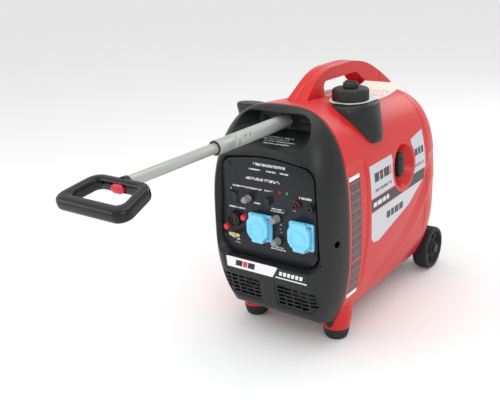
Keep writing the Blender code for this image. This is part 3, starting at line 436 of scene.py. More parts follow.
def refined(node, look, width=0.0005, segments=2, angle=35):     # a merged copy with eased edges
    copy = twinOf(frame["nodes"][node], "look_" + node)
    copy.parent = None
    for key in list(copy.keys()):
        del copy[key]
    tidyMesh(copy, 0.00001)
    flat = copy.modifiers.new("flat", "DECIMATE")
    flat.decimate_type = "DISSOLVE"
    flat.angle_limit = math.radians(0.5)
    applyAll(copy)
    if width:
        soften(copy, width, segments, angle)
    return done(copy, bodyOf[node], look, (node,), moved=False)


# the case: one dense form, then its shells, covers and front housing
case = {"halfWidth": 0.137, "waist": 0.210, "crown": 0.237, "keel": 0.216, "bottom": 0.046,
        "nose": -0.010, "seam": 0.060, "rearSeam": 0.398, "tail": 0.476, "topSlope": 0.085,
        "wall": 0.003, "gap": 0.0004, "seamRound": 0.0012}


def caseRing(y, scale, inset, keelScale, count):
    drop = case["topSlope"] * max(0.0, y - case["seam"])
    middle = case["waist"] + 0.005
    fine = []
    for i in range(720):
        turn = tau * i / 720
        upper = math.sin(turn) > 0
        power, height = (3.0, case["crown"] - drop) if upper else (2.5, case["keel"])
        x = (case["halfWidth"] - inset) * abs(math.cos(turn)) ** (2 / power)
        z = case["waist"] + math.copysign((height - inset) * abs(math.sin(turn)) ** (2 / power),
                                          math.sin(turn))
        z = max(z, case["bottom"] + inset)
        share = keelScale if keelScale and z < middle else scale
        fine.append(Vector((math.copysign(x, math.cos(turn)) * scale, y, middle + (z - middle) * share)))
    spans = [(fine[(i + 1) % 720] - fine[i]).length for i in range(720)]
    step, ring, walked, i = sum(spans) / count, [], 0.0, 0
    for k in range(count):
        while walked + spans[i] < k * step - 1e-9:
            walked += spans[i]
            i += 1
        ring.append(fine[i].lerp(fine[(i + 1) % 720], (k * step - walked) / max(spans[i], 1e-9)))
    return ring


def frontReach(z):
    high = max(0.0, z - 0.29) / 0.14
    low = max(0.0, 0.20 - z) / 0.13
    return case["nose"] + 0.030 * high ** 2 + 0.017 * low ** 2


def caseForm(name, inset, count=260, stations=80, turns=12):
    frontScale, frontKeel, rearScale, seam, tail = 0.708, 0.84, 0.72, case["seam"], case["tail"]
    rings = []
    for share in (0.08, 0.2, 0.35, 0.5, 0.62, 0.74, 0.84, 0.92):
        flat = caseRing(0.0, frontScale * share, inset, frontKeel * share, count)
        rings.append([Vector((p.x, frontReach(p.z) + inset, p.z)) for p in flat])
    for step in range(turns):
        turn = math.radians(90 - 90 * step / turns)
        scale = 1 - (1 - frontScale) * (1 - math.cos(turn))
        keel = 1 - (1 - frontKeel) * (1 - math.cos(turn))
        rings.append([Vector((p.x, seam - (seam - frontReach(p.z) - inset) * math.sin(turn), p.z))
                      for p in caseRing(seam, scale, inset, keel, count)])
    for step in range(stations):
        rings.append(caseRing(seam + (0.405 - seam) * step / stations, 1.0, inset, None, count))
    for step in range(turns + 1):
        turn = math.radians(90 * step / turns)
        scale = 1 - (1 - rearScale) * (1 - math.cos(turn))
        rings.append(caseRing(0.405 + (tail - inset - 0.405) * math.sin(turn), scale, inset, None, count))
    for share in (0.85, 0.6, 0.3, 0.1):
        rings.append(caseRing(tail - inset, rearScale * share, inset, None, count))
    return loft(name, rings)


def ease(value, start, end):
    t = min(1.0, max(0.0, (value - start) / (end - start)))
    return t * t * (3 - 2 * t)


def curveAt(points, value):      # height at a place on the line through (place, height) points
    if value <= points[0][0]:
        return points[0][1]
    for (a, b), (c, d) in zip(points, points[1:]):
        if value <= c:
            return b + (d - b) * (value - a) / (c - a)
    return points[-1][1]


relief = {"front": [(0.095, 0.117), (0.15, 0.121), (0.20, 0.130), (0.30, 0.134), (0.34, 0.133)],
          "sweep": [(0.13, 0.082), (0.19, 0.108), (0.26, 0.144), (0.32, 0.184), (0.37, 0.226),
                    (0.41, 0.285)],
          "second": [(0.22, 0.062), (0.28, 0.089), (0.33, 0.122), (0.38, 0.168), (0.42, 0.222)],
          "arch": [(0.33, 0.072), (0.37, 0.092), (0.41, 0.118), (0.45, 0.150), (0.48, 0.180)],
          "step": 0.0016, "valley": 0.0044, "room": 0.0048}


def sideRelief(y, z):        # how far the side is pressed in at a place, in metres
    press = 0.0
    front = curveAt(relief["front"], z)
    if z > 0.085:
        fade = ease(z, 0.085, 0.11) * (1 - ease(z, 0.335, 0.350))
        press += relief["step"] * fade * (1 - ease(y, front - 0.0035, front)) * ease(y, 0.060, 0.064)
    sweep, second, arch = (curveAt(relief[key], y) for key in ("sweep", "second", "arch"))
    ends = ease(y, 0.130, 0.19) * (1 - ease(y, 0.43, 0.465))
    inside = ease(sweep - z, 0.0, 0.006) * (1 - ease(sweep - z, 0.008, max(0.012, sweep - second)))
    press += relief["valley"] * inside * ends
    lower = ease(second - z, 0.0, 0.006) * (1 - ease(second - z, 0.008, max(0.012, second - arch + 0.006)))
    press += relief["valley"] * 0.8 * lower * ease(y, 0.22, 0.28) * (1 - ease(y, 0.43, 0.465))
    return press


outer = caseForm("caseForm", 0.0)
for vertex in outer.data.vertices:
    x, y, z = vertex.co
    if abs(x) > 0.085 and y > 0.061:
        vertex.co.x -= math.copysign(sideRelief(y, z) * ease(abs(x), 0.085, 0.115), x)
print("case form", len(outer.data.vertices))

carry = {"half": 0.017, "round": 0.0062, "flare": 0.35,
         "outline": [(0.078, 0.390, 0.002), (0.078, 0.4215, 0.004), (0.1766, 0.4890, 0.140),
                     (0.346, 0.4885, 0.250), (0.452, 0.4207, 0.004), (0.452, 0.375, 0.002)],
         "window": [(0.176, 0.4385, 0.006), (0.178, 0.4665, 0.013), (0.306, 0.4645, 0.030),
                    (0.358, 0.4245, 0.005)]}
handle = plate("handle", roundOutline(carry["outline"]), "X", -carry["half"], carry["half"])
combine(handle, [plate("window", roundOutline(carry["window"]), "X", -0.05, 0.05)])
soften(handle, carry["round"], 4)
only(handle)
bpy.ops.object.mode_set(mode="EDIT")
for k in range(28):
    bpy.ops.mesh.select_all(action="SELECT")
    bpy.ops.mesh.bisect(plane_co=(0, 0, 0.380 + 0.004 * k), plane_no=(0, 0, 1))
for k in range(24):
    bpy.ops.mesh.select_all(action="SELECT")
    bpy.ops.mesh.bisect(plane_co=(0, 0.085 + 0.016 * k, 0), plane_no=(0, 1, 0))
bpy.ops.mesh.select_all(action="SELECT")
bpy.ops.mesh.quads_convert_to_tris()
bpy.ops.object.mode_set(mode="OBJECT")
tidyMesh(handle, 0.000002)
for vertex in handle.data.vertices:          # the legs widen towards the crown
    low = 1 - ease(vertex.co.z, 0.424, 0.474)
    vertex.co.x *= 1 + carry["flare"] * low


def eggRing(x, y, z, halfX, halfY, points=56):
    return [Vector((x + halfX * math.cos(tau * i / points), y + halfY * math.sin(tau * i / points), z))
            for i in range(points)]


foot = {"x": 0.0925, "y": 0.0865}
legs = [loft("leg", [eggRing(side * foot["x"], foot["y"], 0.0223, 0.026, 0.026),
                     eggRing(side * 0.0920, 0.0875, 0.035, 0.0282, 0.0290),
                     eggRing(side * 0.0915, 0.0885, 0.050, 0.0300, 0.0320),
                     eggRing(side * 0.0865, 0.0935, 0.085, 0.0330, 0.0400)]) for side in (-1, 1)]
combine(outer, [handle] + legs, "UNION")
print("case joined", len(outer.data.polygons))


def panelOutline(grow):
    low, high = 0.168 - grow * 0.5, 0.350 + grow * 0.7
    return roundOutline([(-0.105 - grow, low, 0.030), (-0.097 - grow, high, 0.024),
                         (0.0, high + 0.014, 0.30), (0.097 + grow, high, 0.024),
                         (0.105 + grow, low, 0.030)], 10)


def between(name, outlineA, yA, outlineB, yB):
    return loft(name, [[Vector((p[0], yA, p[1])) for p in outlineA],
                       [Vector((p[0], yB, p[1])) for p in outlineB]])


def pocketForm(name, grow, back):
    mouth, rear = [roundBox((-w - grow, low - grow), (w + grow, high + grow), r)
                   for w, low, high, r in ((0.104, 0.3725, 0.450, 0.034),
                                           (0.058, 0.3985, 0.4295, 0.0145))]
    return between(name, mouth, -0.030, rear, back)


starter = {"y": 0.284, "z": 0.292, "floor": 0.098}
cap = {"x": 0.070, "y": 0.185, "z": 0.4362, "radius": 0.034, "ribs": 24, "deep": 0.0013}
shellRoom = caseForm("shellRoom", case["wall"], 100, 20, 6)
for vertex in shellRoom.data.vertices:       # room behind the pressed-in flanks
    x, y, z = vertex.co
    if abs(x) > 0.06:
        vertex.co.x -= math.copysign(relief["room"] * ease(y, 0.062, 0.10) * ease(abs(x), 0.06, 0.10), x)
frontRoom = twinOf(shellRoom, "frontRoom")
combine(shellRoom, [rod("cup", "X", starter["floor"] - 0.003, 0.150, 0.034, 0.052,
                        (starter["y"], starter["z"]))])
combine(frontRoom, [between("frameBlock", panelOutline(0.030), -0.030, panelOutline(0.003), 0.009),
                    pocketForm("pocketBlock", 0.003, 0.078)])
front = twinOf(outer, "front_housing_form")
combine(front, [frontRoom])
combine(outer, [shellRoom])

wheelSide = [(0.392, 0.040), (0.494, 0.106), (0.56, 0.106), (0.56, -0.02), (0.392, -0.02)]
bores = [plate("wheelCut", wheelSide, "X", -0.2, 0.2),
         box("belly", (-0.058, 0, 0.02), (0.058, 0.384, 0.08)),
         rod("recess", "X", starter["floor"], 0.150, 0.029, 0.050, (starter["y"], starter["z"]), 72),
         rod("ropeHole", "X", 0.05, 0.12, 0.004, at=(starter["y"], starter["z"])),
         rod("neckHole", "Z", 0.36, 0.47, 0.0275, at=(cap["x"], cap["y"])),
         rod("capSeat", "Z", cap["z"] - 0.0013, 0.47, 0.0415, at=(cap["x"], cap["y"])),
         rod("guideBore", "Y", 0.04, 0.3645, 0.0163, at=(0, 0.414))]
bores += [rod("well", "X", *sorted((side * 0.0935, side * 0.152)), 0.051, at=(0.466, 0.047))
          for side in (-1, 1)]
combine(outer, bores)
seam, rearSeam, gap = case["seam"], case["rearSeam"], case["gap"]
cover = roundBox((0.150, 0.105), (0.345, 0.275), 0.016)
coverIn = roundBox((0.1505, 0.1055), (0.3445, 0.2745), 0.0155)
shells = {"right_shell": ((gap / 2, seam + gap / 2, -0.1), (0.3, rearSeam - gap / 2, 0.6)),
          "left_shell": ((-0.3, seam + gap / 2, -0.1), (-gap / 2, rearSeam - gap / 2, 0.6)),
          "rear_cover": ((-0.3, rearSeam + gap / 2, -0.1), (0.3, 0.6, 0.6))}
made = {}
for name, corners in shells.items():
    made[name] = combine(twinOf(outer, "case_" + name), [box("keep", *corners)], "INTERSECT")
made["service_cover"] = combine(twinOf(made["left_shell"], "case_service_cover"),
                                [plate("coverIn", coverIn, "X", -0.3, -0.05)], "INTERSECT")
combine(made["left_shell"], [plate("cover", cover, "X", -0.3, -0.05)])
grilleHole = plate("grilleHole", roundBox((-0.072, 0.150), (0.072, 0.318), 0.014), "Y", 0.44, 0.50)
combine(made["rear_cover"], [grilleHole])
bpy.data.objects.remove(outer)

# front housing: panel frame, stowing pocket and the two slotted grilles
frontBox = box("frontBox", (-0.3, -0.2, -0.1), (0.3, seam - gap / 2, 0.6))
rearPart = pocketForm("pocketRear", 0.0035, 0.0785)
combine(rearPart, [box("rearOnly", (-0.2, 0.050, 0.3), (0.2, 0.2, 0.5))], "INTERSECT")
combine(frontBox, [rearPart], "UNION")
combine(front, [frontBox], "INTERSECT")
grille = {"pitch": 0.0165, "length": 0.0130, "height": 0.0045, "step": 0.0085, "top": 0.124, "deep": 0.0014}
slots = []
for side in (-1, 1):
    for row in range(5):
        for column in range(4 if row == 4 else 5):
            inner = side * (0.021 + grille["pitch"] * column)
            ends = sorted((inner, inner + side * grille["length"]))
            z = grille["top"] - grille["step"] * row
            slots.append(box("slot", (ends[0], -0.03, z - grille["height"]), (ends[1], 0.03, z)))
sunk = []
for side in (-1, 1):
    edge = [(side * 0.0145, 0.0795, 0.006), (side * 0.0145, 0.1285, 0.006),
            (side * 0.1065, 0.1285, 0.006), (side * 0.1045, 0.100, 0.020), (side * 0.088, 0.0795, 0.014)]
    sunk.append(plate("sunk", roundOutline(edge, 6), "Y", -0.05, 0.03))
sunkFloor = caseForm("sunkFloor", grille["deep"], 160, 6, 8)
for piece in sunk:
    combine(piece, [sunkFloor], kept=[sunkFloor])
bpy.data.objects.remove(sunkFloor)
combine(front, [between("mouth", panelOutline(0.027), -0.030, panelOutline(0.0003), 0.0093),
                pocketForm("pocket", 0.0, 0.075), rod("guideHole", "Y", 0.05, 0.10, 0.0137,
                                                      at=(0, 0.414))])
combine(front, sunk + [merged("slots", slots)])
made["front_housing"] = front
for side in (-1, 1):         # screw wells: two in the pocket's back wall, one on each flank
    combine(front, [rod("pocketScrew", "Y", 0.0735, 0.0765, 0.0046, at=(side * 0.045, 0.4145), sides=24)])
    combine(front, [rod("flankScrew", "X", *sorted((side * 0.1185, side * 0.15)), 0.0062,
                        at=(0.025, 0.218), sides=28)])
print("case cut")
for name, piece in made.items():
    tidyMesh(piece, 0.00015)
    soften(piece, case["seamRound"] if name != "front_housing" else 0.0010, 2, 40, clamp=False)
    print("softened", name)

# print on the red shells: label column, grey data boxes, slanted black band and silver wedge
redPrinted = finish["red"]
across, up, out = (along(redPrinted, axis) for axis in "YZX")
flank = (redPrinted, across, up)
right = addNode(redPrinted, "ShaderNodeMath", {0: out, 1: 0.112}, operation="GREATER_THAN").outputs[0]
decals = {"box": [(142, 326), (234, 326), (240, 300), (240, 264), (142, 264)],
          "boxRear": [(326, 333), (384, 341), (384, 262), (326, 258)],
          "wedge": [(142, 237), (142, 188), (151, 177), (174, 174), (305, 205), (372, 239)]}
boxes = both(redPrinted, shape(*flank, decals["box"]), shape(*flank, decals["boxRear"]), "MAXIMUM")
band = patch(*flank, (142, 239), (378, 262))
ring = addNode(redPrinted, "ShaderNodeCombineXYZ", {"X": across, "Y": up})
ring = addNode(redPrinted, "ShaderNodeVectorMath", {0: ring.outputs[0],
                                                    1: (starter["y"], starter["z"], 0)},
               operation="DISTANCE")
clear = addNode(redPrinted, "ShaderNodeMath", {0: ring.outputs["Value"], 1: 0.0525},
                operation="GREATER_THAN")
wedge = shape(*flank, decals["wedge"])
column = patch(*flank, (68, 100), (106, 318))
rowPlace = addNode(redPrinted, "ShaderNodeMath", {0: up, 1: 0.0165}, operation="MODULO").outputs[0]
rowBlack = addNode(redPrinted, "ShaderNodeMath", {0: rowPlace, 1: 0.0145}, operation="LESS_THAN").outputs[0]
columnText = printRows(*flank, [((72, 96), (103, 316))], 2.6)
linePlace = addNode(redPrinted, "ShaderNodeMath", {0: up, 1: 0.0028}, operation="MODULO").outputs[0]
lineOn = addNode(redPrinted, "ShaderNodeMath", {0: linePlace, 1: 0.0011}, operation="LESS_THAN").outputs[0]
ends = both(redPrinted, patch(*flank, (68, 318), (106, 325)), patch(*flank, (68, 93), (106, 101)),
            "MAXIMUM")
parting = patch(*flank, (66, 163), (108, 168))
notParting = addNode(redPrinted, "ShaderNodeMath", {0: 1.0, 1: parting}, operation="SUBTRACT").outputs[0]


def onRight(mask):
    return both(redPrinted, mask, right)


def bars(*rows):
    total = None
    for low, high in rows:
        bar = patch(*flank, low, high)
        total = bar if total is None else both(redPrinted, total, bar, "MAXIMUM")
    return onRight(total)


painted(redPrinted, [(onRight(both(redPrinted, boxes, clear.outputs[0])), "C6C7CE"),
                     (onRight(both(redPrinted, band, clear.outputs[0])), "1E1F22"),
                     (onRight(wedge), "CBCCD2"), (bars(((158, 292), (176, 309)), ((179, 292), (193, 309)),
                                                       ((196, 292), (219, 309))), "2A2B2E"),
                     (bars(((222, 292), (227, 309)), ((179, 300), (193, 302))), "C23A30"),
                     (onRight(printRows(*flank, [((156, 273), (226, 279)), ((332, 273), (378, 279))], 3)),
                      "6A6B70"), (bars(((336, 296), (350, 310)), ((353, 296), (364, 310)),
                                       ((367, 296), (378, 310))), "2E2F33"),
                     (bars(((150, 246), (163, 255)), ((166, 246), (184, 255)), ((187, 246), (200, 255)),
                           ((203, 246), (214, 255))), "D8D9DC"),
                     (bars(((204, 207), (220, 221)), ((223, 207), (236, 221)), ((239, 207), (256, 221)),
                           ((259, 207), (276, 221))), "2A2B2E"),
                     (onRight(both(redPrinted, both(redPrinted, column, rowBlack), notParting)),
                      "2B2B2D"), (onRight(both(redPrinted, both(redPrinted, columnText, lineOn),
                                               both(redPrinted, rowBlack, notParting))), "6A6A6D"),
                     (onRight(ends), "F3F1EF")])
charcoal = finish["charcoal"]
pocketX, pocketY, pocketZ = (along(charcoal, axis) for axis in "XYZ")
inPocket = patch(charcoal, pocketZ, pocketY, (372, -8), (402, 60))
pocketRows = printRows(charcoal, pocketX, pocketY, [((-14, 18), (40, 22)), ((-18, 27), (46, 29.5)),
                                                    ((-24, 34), (30, 36.5)), ((-20, 41), (36, 43.5))], 3)
painted(charcoal, [(both(charcoal, inPocket, pocketRows), "B9BBBD")])
for name in ("right_shell", "left_shell", "rear_cover", "service_cover"):
    done(made[name], "chassis", "red", (name,), 33)
done(front, "chassis", "charcoal", ("front_housing",), 33)
print("case finished")

baffle = plate("grille_baffle", roundOutline([(-0.103, 0.076, 0.012), (-0.106, 0.131, 0.008),
                                              (0.106, 0.131, 0.008), (0.103, 0.076, 0.012)]), "Y", 0.022,
               0.0235)
done(soften(baffle, 0.0004), "chassis", "dark")

# shoulders under the fuel cap and opposite it
shoulder = {"filler_shoulder": [(0.071, 0.183, 0.4348, 0.0440, 0.0510),
                                (0.071, 0.183, 0.4338, 0.0485, 0.0565),
                                (0.0715, 0.183, 0.4300, 0.0505, 0.0600),
                                (0.0722, 0.183, 0.4235, 0.0510, 0.0622),
                                (0.0740, 0.1825, 0.4190, 0.0495, 0.0610),
                                (0.0775, 0.182, 0.410, 0.0480, 0.0595),
                                (0.0850, 0.182, 0.397, 0.0440, 0.0530),
                                (0.0945, 0.184, 0.381, 0.0370, 0.0420),
                                (0.1015, 0.187, 0.368, 0.0310, 0.0325),
                                (0.1040, 0.189, 0.3605, 0.0270, 0.0262)],
            "left_shoulder_cover": [(-0.094, 0.102, 0.4335, 0.026, 0.013),
                                    (-0.095, 0.104, 0.4322, 0.033, 0.0180),
                                    (-0.096, 0.108, 0.4270, 0.0355, 0.0240),
                                    (-0.096, 0.115, 0.4160, 0.0355, 0.0310),
                                    (-0.097, 0.126, 0.395, 0.0320, 0.0400),
                                    (-0.0995, 0.132, 0.382, 0.0295, 0.0350),
                                    (-0.1020, 0.138, 0.370, 0.0275, 0.0300),
                                    (-0.106, 0.142, 0.356, 0.0235, 0.0195)]}
for name, rings in shoulder.items():
    piece = loft("look_" + name, [eggRing(*ring, 40) for ring in rings])
    smoother = piece.modifiers.new("smoother", "SUBSURF")
    smoother.levels = smoother.render_levels = 2
    applyAll(piece)
    if name == "filler_shoulder":
        combine(piece, [rod("neck", "Z", 0.38, 0.47, 0.0262, at=(cap["x"], cap["y"]))])
        soften(piece, 0.0008, 2, 40, clamp=False)
    done(piece, "chassis", "charcoal", (name,), 40)

# ribbed fuel cap, its vent knob and the tag


def ribbedForm(name, ribs, rows, fine=6):       # rows of (radius, height, rib depth) in millimetres
    rings = []
    for radius, z, deep in rows:
        turns = [tau * i / (ribs * fine) for i in range(ribs * fine)]
        reach = [radius - deep * (0.5 - 0.5 * math.cos(ribs * turn)) ** 2 for turn in turns]
        rings.append([Vector((r * math.cos(turn), r * math.sin(turn), z)) / 1000
                      for r, turn in zip(reach, turns)])
    return loft(name, rings)


r, deep = cap["radius"] * 1000, cap["deep"] * 1000
fuelCap = ribbedForm("look_fuel_cap", cap["ribs"], [(r - 1.2, 0, deep), (r, 1, deep), (r, 18, deep),
                                                    (r - 0.8, 19.6, deep * 0.7), (r - 2.6, 21.2, 0),
                                                    (r - 6, 22.4, 0), (r - 12, 22.8, 0),
                                                    (r - 18.5, 22.2, 0)])
combine(fuelCap, [rod("capRoom", "Z", -0.01, 0.017, cap["radius"] - 0.0045)])
fuelCap.data.transform(Matrix.Translation((cap["x"], cap["y"], cap["z"])))
done(fuelCap, "cap", "dark", ("fuel_cap",), 40)
knob = ribbedForm("look_vent_knob", 18, [(14, 23.2, 0.6), (14, 30, 0.6), (13.2, 31.8, 0.4),
                                         (11.8, 32.9, 0), (6, 33.2, 0)])
bar = box("bar", (-0.0105, -0.0017, 0.0325), (0.0105, 0.0017, 0.0350))
soften(bar, 0.0006)
combine(knob, [bar], "UNION")
knob.data.transform(Matrix.Translation((cap["x"], cap["y"], cap["z"])))
done(knob, "vent", "dark", ("vent_knob",), 40)
tag = refined("paper_tag", "paper", 0)
tagPrint = finish["paper"]
tagPlace = [along(tagPrint, axis) for axis in "XY"]
pinkRows = printRows(tagPrint, *tagPlace, [((52, 232), (112, 236)), ((52, 241), (112, 244)),
                                           ((56, 249), (116, 252)), ((56, 257), (112, 260))], 4)
greyRows = printRows(tagPrint, *tagPlace, [((40, 212), (104, 215)), ((44, 221), (104, 224))], 4)
painted(tagPrint, [(pinkRows, "D08A80"), (greyRows, "A5A09A")])
print("cap and shoulders finished")

# control panel with its print, screws and devices
panel = {"y": 0.006, "screws": [(-0.082, 0.342), (0.084, 0.343), (0.098, 0.200), (-0.097, 0.198)],
         "lampZ": 0.3025, "lamps": [("oil_lamp", 0.012, "lampRed"), ("overload_lamp", 0.028, "lampRed"),
                                    ("output_lamp", 0.043, "lampGreen")],
         "terminalZ": 0.284, "terminals": [("left", 0.062, "button"), ("right", 0.093, "dark")],
         "reset": (0.002, 0.2825), "resetMm": 6.6, "bootMm": 7.8, "stud": (-0.070, 0.2068),
         "socketZ": 0.230, "socketScrew": 0.0195, "lidRingZ": 0.228, "hinge": (-0.0052, 0.2545)}
panelY = panel["y"]
film = finish["film"]
px, pz = along(film, "X"), along(film, "Z")
printed = [((-28, 345), (40, 350)), ((-38, 335.5), (-12, 338.5)), ((-2, 335.5), (20, 338.5)),
           ((28, 335.5), (46, 338.5)), ((-45, 317), (27, 322)), ((-76, 299), (-11, 302)),
           ((-6, 299.5), (8, 302)), ((67, 297), (92, 301)), ((-87, 256.5), (-49, 259.5)),
           ((8, 268), (34, 270.5)), ((6, 264), (36, 266)), ((4, 191), (36, 193.5)),
           ((-26, 199), (-4, 202)), ((62, 199), (84, 202)), ((-30, 272), (-16, 275)),
           ((54, 272.5), (60, 275.5)), ((-82, 292), (-79, 295)), ((-82, 268), (-79, 271)),
           ((-56, 268), (-48, 270.5)), ((8, 195.5), (32, 197.5)), ((26, 240), (29, 243)),
           ((25, 232), (30, 234)), ((26, 226), (29, 228)), ((-74, 193), (-66, 196)),
           ((-76, 186), (-64, 189))]
painted(film, [(printRows(film, px, pz, printed, 2.4), "C9CCD0")])
refined("control_panel", "film", 0.0006)
screws = []
for x, z in panel["screws"]:
    screw = lathe("screw", "Y", [(0, 1), (5.2, 1), (5.2, -0.6), (4, -2.2), (0, -2.8)],
                  (x, panelY, z), 24)
    combine(screw, [box("cross", (x - wide, 0, z - high), (x + wide, panelY - 0.0012, z + high))
                    for wide, high in ((0.0024, 0.0005), (0.0005, 0.0024))])
    screws.append(screw)
done(merged("panel_screws", screws), "chassis", "dark")

sockets = {"left": -0.0148, "right": 0.0731}
for side, x in sockets.items():
    refined("socket_%s_base" % side, "blue", 0.0008, 2)
    refined("socket_%s_lid" % side, "blue", 0.0009, 3)
    heads = []
    for across, up in ((1, 1), (1, -1), (-1, -1)):
        headX, headZ = x + across * panel["socketScrew"], panel["socketZ"] + up * panel["socketScrew"]
        head = lathe("head", "Y", [(0, 0), (2.6, 0), (2.4, -1.1), (0, -1.4)], (headX, 0.0, headZ), 20)
        combine(head, [box("cross", (headX - 0.0016, -0.003, headZ - 0.0003),
                           (headX + 0.0016, -0.0007, headZ + 0.0003))])
        heads.append(head)
    done(merged("socket_screws_" + side, heads), "chassis", "steel")
    crown = lathe("lid_ring_" + side, "Y", [(16, -11), (16, -12.6), (15, -13.1), (14, -12.6), (14, -11)],
                  (x, 0, panel["lidRingZ"]), 56)
    done(crown, "lid_" + side, "blue")
    barrel = rod("lid_barrel_" + side, "X", x - 0.0115, x + 0.0115, 0.0026, at=panel["hinge"], sides=24)
    soften(barrel, 0.0005)
    done(barrel, "lid_" + side, "blue")

boots = {"dc_breaker": ("breaker_dc", -0.041, 0.2805),
         "ac_breaker_upper": ("breaker_ac_upper", 0.0200, 0.2520),
         "ac_breaker_lower": ("breaker_ac_lower", 0.0205, 0.2090)}
for name, (body, x, z) in boots.items():
    boot = lathe("look_" + name, "Y", [(0, 12), (7, 12), (7, -5.2), (6.6, -6.2), (6, -7), (6.2, -8.2),
                                       (6, -11), (6.2, -12.4), (5.8, -15), (4.8, -17.6), (3, -18.7),
                                       (0, -19)], (x, panelY, z), 48)
    done(boot, body, "boot", (name,), 50)
    core = lathe("core_" + name, "Y", [(0, 2), (3.6, 2), (3.6, -11.8), (3, -12.8), (0, -13)],
                 (x, panelY - 0.001, z), 32)
    done(core, body, "dark")
reset = lathe("look_reset_button", "Y", [(0, 12), (6, 12), (6, -4.5), (5.4, -5.6), (0, -6)],
              (panel["reset"][0], panelY, panel["reset"][1]), 40)
done(reset, "reset", "dark", ("reset_button",))
collars = [lathe("collar", "Y", [(radius, -0.1), (radius + 1.6, -0.1), (radius + 1.4, -1.2),
                                 (radius + 0.3, -1.4)], (x, panelY, z), 40)
           for radius, x, z in [(panel["resetMm"], *panel["reset"])]
           + [(panel["bootMm"], x, z) for body, x, z in boots.values()]]
done(merged("panel_collars", collars), "chassis", "dark")
refined("rocker_switch", "dark", 0.0005)
rockerFrame = plate("rocker_frame", roundBox((-0.0828, 0.2648), (-0.0652, 0.2932), 0.002), "Y",
                    panelY - 0.0013, panelY - 0.0001)
combine(rockerFrame, [box("rockerHole", (-0.0808, 0, 0.2677), (-0.0672, 0.01, 0.2903))])
done(soften(rockerFrame, 0.0004, 2), "chassis", "dark")
for name, x, look in panel["lamps"]:
    lens = lathe("look_" + name, "Y", [(0, -0.3), (2.6, -0.3), (2.4, -1.1), (1.4, -1.7), (0, -1.9)],
                 (x, panelY, panel["lampZ"]), 28)
    done(lens, "chassis", look, (name,), 60)
for side, x, look in panel["terminals"]:
    post = lathe("look_parallel_terminal_" + side, "Y", [(0, -0.3), (7.2, -0.3), (7.2, -6), (6.4, -7.2),
                                                         (6.4, -8.8), (5.6, -9.9), (2.4, -10), (2, -6),
                                                         (0, -6)], (x, panelY, panel["terminalZ"]), 40)
    done(post, "chassis", "dark", ("parallel_terminal_" + side,))
    accent = lathe("terminal_ring_" + side, "Y", [(7.2, -1.6), (7.7, -2), (7.7, -3.4), (7.2, -3.8)],
                   (x, panelY, panel["terminalZ"]), 40)
    done(accent, "chassis", look)

dc = {"x": -0.073, "z": 0.2348}
dcBody = lathe("look_dc_socket", "Y", [(0, 12), (13.5, 12), (13.5, -7), (12.8, -9), (11.8, -9.5),
                                       (11.2, -9), (11.2, -6), (0, -6)], (dc["x"], panelY, dc["z"]), 56)
for dx in (-0.0045, 0.0045):
    combine(dcBody, [box("pinHole", (dc["x"] + dx - 0.0012, -0.01, dc["z"] - 0.004),
                         (dc["x"] + dx + 0.0012, 0.008, dc["z"] + 0.004))])
done(dcBody, "chassis", "dark", ("dc_socket",))
posts = []
for x, z in ((-0.0905, 0.2180), (-0.0505, 0.2425)):
    posts.append(lathe("post", "Y", [(0, -0.2), (5.8, -0.2), (5.8, -7.5), (5, -9.2), (0, -9.8)],
                       (x, panelY, z), 32))
done(merged("dc_posts", posts), "chassis", "button")
stud = lathe("look_ground_stud", "Y", [(0, -0.3), (2.5, -0.3), (2.5, -14.7), (1.9, -15.5), (0, -15.5)],
             (panel["stud"][0], panelY, panel["stud"][1]), 28)
done(stud, "chassis", "brass", ("ground_stud",))
refined("ground_wing_nut", "brass", 0.0006, 3)
print("panel finished")

# pull handle: two tubes, their collar and dimples, the grip and its button
tube = {"z": 0.414}
stageOne = lathe("look_handle_stage_one", "Y", [
    (10.4, -130), (10.6, -131.8), (12, -132), (12.7, -131.2), (12.7, -125), (12.5, -124), (12.5, -94),
    (11.9, -92.8), (11.9, -90.5), (12.5, -89.3), (12.5, -80), (11.9, -78.8), (11.9, -76.5), (12.5, -75.3),
    (12.5, 149), (12.2, 150), (10.7, 150), (10.7, -123)], (0, 0, tube["z"]), 72)
dimples = []
for y in (-0.062, -0.048):
    for turn in (25, 115, 205, 295):
        a = math.radians(turn)
        bpy.ops.object.select_all(action="DESELECT")
        bpy.ops.mesh.primitive_uv_sphere_add(segments=20, ring_count=12, radius=0.0038,
                                             location=(0.0142 * math.cos(a), y,
                                                       tube["z"] + 0.0142 * math.sin(a)))
        dimples.append(named("dimple"))
combine(stageOne, dimples)
done(stageOne, "stage_one", "lacquer", ("handle_stage_one",), 40)
collar = lathe("stage_one_collar", "Y", [(9.1, -132.6), (11.8, -132.6), (12.2, -132.2), (12.2, -132.1),
                                         (10.3, -132.1), (10.3, -124), (9.1, -124)], (0, 0, tube["z"]),
               64)
done(collar, "stage_one", "dark", angle=40)
stageTwo = lathe("look_handle_stage_two", "Y", [(7.6, -329.2), (7.8, -329.6), (8.6, -329.6),
                                                (8.8, -329.2), (8.8, -74.5), (8.5, -74), (7.6, -74)],
                 (0, 0, tube["z"]), 64)
done(stageTwo, "pull_grip", "lacquer", ("handle_stage_two",), 40)

